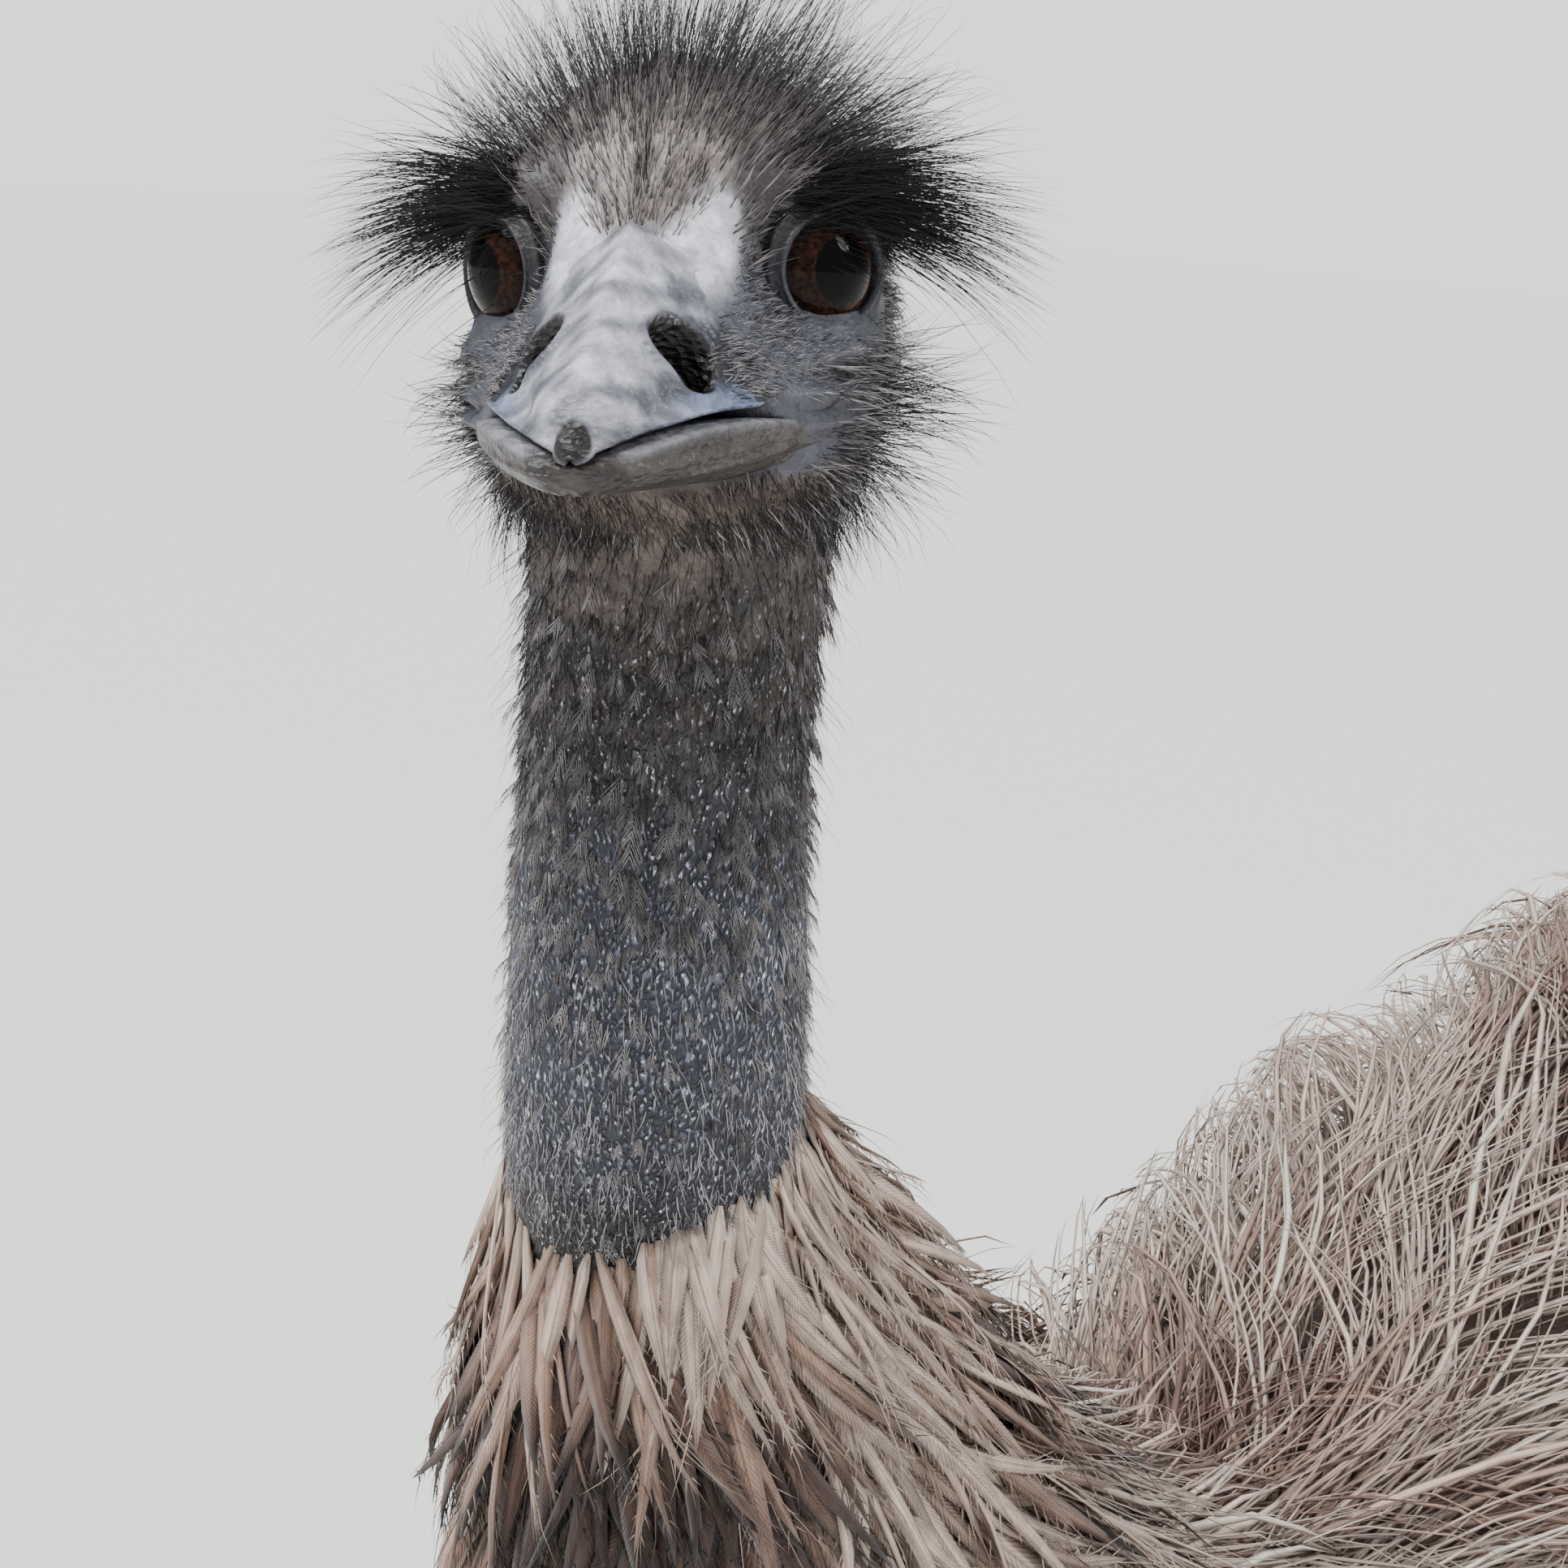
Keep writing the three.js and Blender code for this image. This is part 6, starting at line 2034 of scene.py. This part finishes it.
def scute(middle, low, high, surface, thick):
    """One plate over a limb, with a raised lower edge, as points, quads and places along it."""
    rows, columns = 5, 7
    n = rows * columns
    t = np.linspace(0, 1, rows)[:, None]
    a = np.linspace(-1, 1, columns)[None, :]
    at = mix(low, high, t) + 0 * a
    angle = middle + SCUTE_HALF_ANGLE * a * (1 - 0.25 * (t - 0.5) ** 2) + 0 * t
    top = thick * (0.35 + 0.65 * t) * (1 - a**6) * np.minimum(1, (1 - t) * 8 + 0.35)
    outer = surface(at, angle, 0.25 + top)
    inner = surface(at, angle, np.full_like(at, -1.2))
    points = np.concatenate([outer.reshape(-1, 3), inner.reshape(-1, 3)])
    quads = grid_faces(rows, columns, closed=False)
    index = np.arange(n).reshape(rows, columns)
    edge = np.concatenate([index[0], index[1:, -1], index[-1, -2::-1], index[-2:0:-1, 0]])
    onward = np.roll(edge, -1)
    sides = np.stack([edge, edge + n, onward + n, onward], axis=-1)
    faces = np.concatenate([quads, quads[:, ::-1] + n, sides])
    return points, faces, np.tile((t + 0 * a).ravel(), 2)


def leg_scutes(sign):
    """The plates down the front of a shank and over its toes, as one piece."""
    def on_shank(at, angle, grow):
        half = along(SHANK, "flesh", at)
        depth = (half * SHANK_DEPTH + grow) / np.maximum(half + grow, 1)
        return tube_surface(SHANK, at, angle, half + grow, depth, sign, STANCE_Y)[0]

    pieces = []
    edges = np.linspace(1.15, 5.55, SHANK_PLATES + 1)
    for low, high in zip(edges[:-1], edges[1:]):
        pieces.append(scute(np.pi, low - 0.01, high + 0.03, on_shank, 1.7))
    for toe in TOES.values():
        def on_toe(t, angle, grow, toe=toe):
            return toe_surface(toe, sign, t, angle, grow)

        edges = np.linspace(22 / toe["length"], 0.97, toe["plates"] + 1)
        for low, high in zip(edges[:-1], edges[1:]):
            pieces.append(scute(0.0, low - 0.005, high + 0.01, on_toe, 1.3))
    points, faces, runs = zip(*pieces)
    bases = np.cumsum([0] + [len(made) for made in points[:-1]])
    faces = np.concatenate([made + base for made, base in zip(faces, bases)])
    mesh = new_mesh("scutes", np.concatenate(points), faces)
    give_value(mesh, "along", np.concatenate(runs))
    mesh.materials.append(material_of("emu_scutes", scute_look))
    return link(bpy.data.objects.new("scutes", mesh))


def claw_object(toe, sign):
    """A claw that tapers and droops from a toe's end, with its root sunk in the toe."""
    ahead, side, root = toe_frame(toe, sign)
    turn = full_turn(28)
    rings = []
    for step in np.linspace(0, 1, 26):
        size = (1 - step) ** 0.7 + CLAW["tip"]
        middle = toe["height"] * 0.36 - CLAW["droop"] * step * step
        tall = CLAW["height"] * size / 2
        across, rise = oval(turn, CLAW["half"] * size, tall, tall)
        forward = toe["length"] - CLAW["sunk"] + (CLAW["length"] + CLAW["sunk"]) * step
        point = root + ahead * forward + side * across[:, None]
        point[:, 2] = np.maximum(middle + rise, 0.3)
        rings.append(point)
    obj = loft_object("claw", np.array(rings))
    obj.data.materials.append(material_of("emu_claw", claw_look))
    return link(obj)


class EMU_OT_legs(bpy.types.Operator):
    """Make the scutes of shanks and toes, and the claws."""

    bl_idname = "emu.legs"
    bl_label = "Scutes and claws"

    def execute(self, context):
        for name, sign in SIDES:
            plates = leg_scutes(sign)
            plates.name = f"scutes_{name}"
            finish_piece(plates, "leg_scales")
            for toe_name, toe in TOES.items():
                claw = claw_object(toe, sign)
                claw.name = f"horn_{toe_name}_{name}"
                finish_piece(claw, "claw_horn", f"claw_{toe_name}_{name}")
        return {"FINISHED"}


# Stage

def camera_matrix():
    """The camera stands in front of the bird's left shoulder, a little above its eyes."""
    azimuth, pitch, roll = (math.radians(CAMERA[key]) for key in ("azimuth", "pitch", "roll"))
    level = math.cos(pitch)
    forward = Vector((-math.sin(azimuth) * level, math.cos(azimuth) * level, -math.sin(pitch)))
    flat = Vector((math.cos(azimuth), math.sin(azimuth), 0))
    rise = flat.cross(forward)
    right = flat * math.cos(roll) + rise * math.sin(roll)
    up = rise * math.cos(roll) - flat * math.sin(roll)
    matrix = Matrix((right, up, -forward)).transposed().to_4x4()
    matrix.translation = Vector(to_row(np.array(CAMERA["place"])))
    return matrix


def add_light(name, kind, energy, offset, height, **settings):
    """A light aimed at the face, from an offset across the floor and a height over it, in metres."""
    data = bpy.data.lights.new(name, kind)
    data.energy = energy
    for key, value in settings.items():
        setattr(data, key, value)
    face = to_row(EYE_MIDDLE)
    place = (face[0] + offset[0], face[1] + offset[1], height)
    obj = link(bpy.data.objects.new(name, data))
    obj.location = place
    obj.rotation_euler = (Vector(face) - Vector(place)).to_track_quat("-Z", "Y").to_euler()


class EMU_OT_camera(bpy.types.Operator):
    """Place the camera as the photograph was taken."""

    bl_idname = "emu.camera"
    bl_label = "Camera"

    def execute(self, context):
        data = bpy.data.cameras.new("camera")
        data.lens = context.scene.emu_stage.lens
        data.sensor_width = CAMERA["sensor"]
        data.clip_start = CAMERA["clip"]
        camera = link(bpy.data.objects.new("camera", data))
        camera.matrix_world = camera_matrix()
        context.scene.camera = camera
        return {"FINISHED"}


class EMU_OT_stage(bpy.types.Operator):
    """Make the pale floor and backdrop and the studio light."""

    bl_idname = "emu.stage"
    bl_label = "Stage"

    def execute(self, context):
        stage = context.scene.emu_stage
        half = stage.floor_size / 2
        corners = [(-half, -half, 0), (half, -half, 0), (half, half, 0), (-half, half, 0)]
        mesh = bpy.data.meshes.new("floor")
        mesh.from_pydata(corners, [], [(0, 1, 2, 3)])
        mesh.materials.append(material_of("stage_floor", floor_look))
        floor = link(bpy.data.objects.new("floor", mesh))
        world = bpy.data.worlds.new("studio")
        world.use_nodes = True
        nodes = Nodes(world.node_tree)
        sky = world.node_tree.nodes["Background"]
        seen = nodes.add("LightPath").outputs["Is Camera Ray"]
        nodes.set(sky, "Color", (0.86, 0.87, 0.89, 1))
        nodes.set(sky, "Strength", nodes.span(seen, 0.0, 1.0, SKY["light"], SKY["seen"]))
        context.scene.world = world
        add_light("key", "SUN", stage.key_strength, (-1.0, -1.2), 3.6, angle=math.radians(40.0))
        add_light("rim", "AREA", stage.rim_power, (1.2, 0.9), 2.3, shape="DISK", size=0.7)
        return {"FINISHED"}


class EMU_PT_panel(bpy.types.Panel):
    """Buttons and sizes of the emu."""

    bl_idname = "EMU_PT_panel"
    bl_label = "Emu"
    bl_space_type = "VIEW_3D"
    bl_region_type = "UI"
    bl_category = "Emu"

    def draw(self, context):
        for made in OPERATORS:
            self.layout.operator(made.bl_idname)
        for name in GROUPS:
            box = self.layout.box()
            group = getattr(context.scene, name)
            for key in group.__annotations__:
                box.prop(group, key)


OPERATORS = (
    EMU_OT_camera,
    EMU_OT_stage,
    EMU_OT_skin,
    EMU_OT_bill,
    EMU_OT_eyes,
    EMU_OT_head_hair,
    EMU_OT_neck_coat,
    EMU_OT_ruff,
    EMU_OT_body_coat,
    EMU_OT_legs,
)
GROUPS = {"emu_sizes": EmuSizes, "emu_stage": EmuStage, "emu_colours": EmuColours}
CLASSES = tuple(GROUPS.values()) + OPERATORS + (EMU_PT_panel,)


def register():
    for made in CLASSES:
        bpy.utils.register_class(made)
    for name, kind in GROUPS.items():
        setattr(bpy.types.Scene, name, PointerProperty(type=kind))


def unregister():
    for name in GROUPS:
        delattr(bpy.types.Scene, name)
    for made in reversed(CLASSES):
        bpy.utils.unregister_class(made)


def main():
    register()
    bpy.ops.emu.camera()
    bpy.ops.emu.stage()
    bpy.ops.emu.skin()
    bpy.ops.emu.bill()
    bpy.ops.emu.eyes()
    bpy.ops.emu.head_hair()
    bpy.ops.emu.neck_coat()
    bpy.ops.emu.ruff()
    bpy.ops.emu.body_coat()
    bpy.ops.emu.legs()
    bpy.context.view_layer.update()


if __name__ == "__main__":
    main()
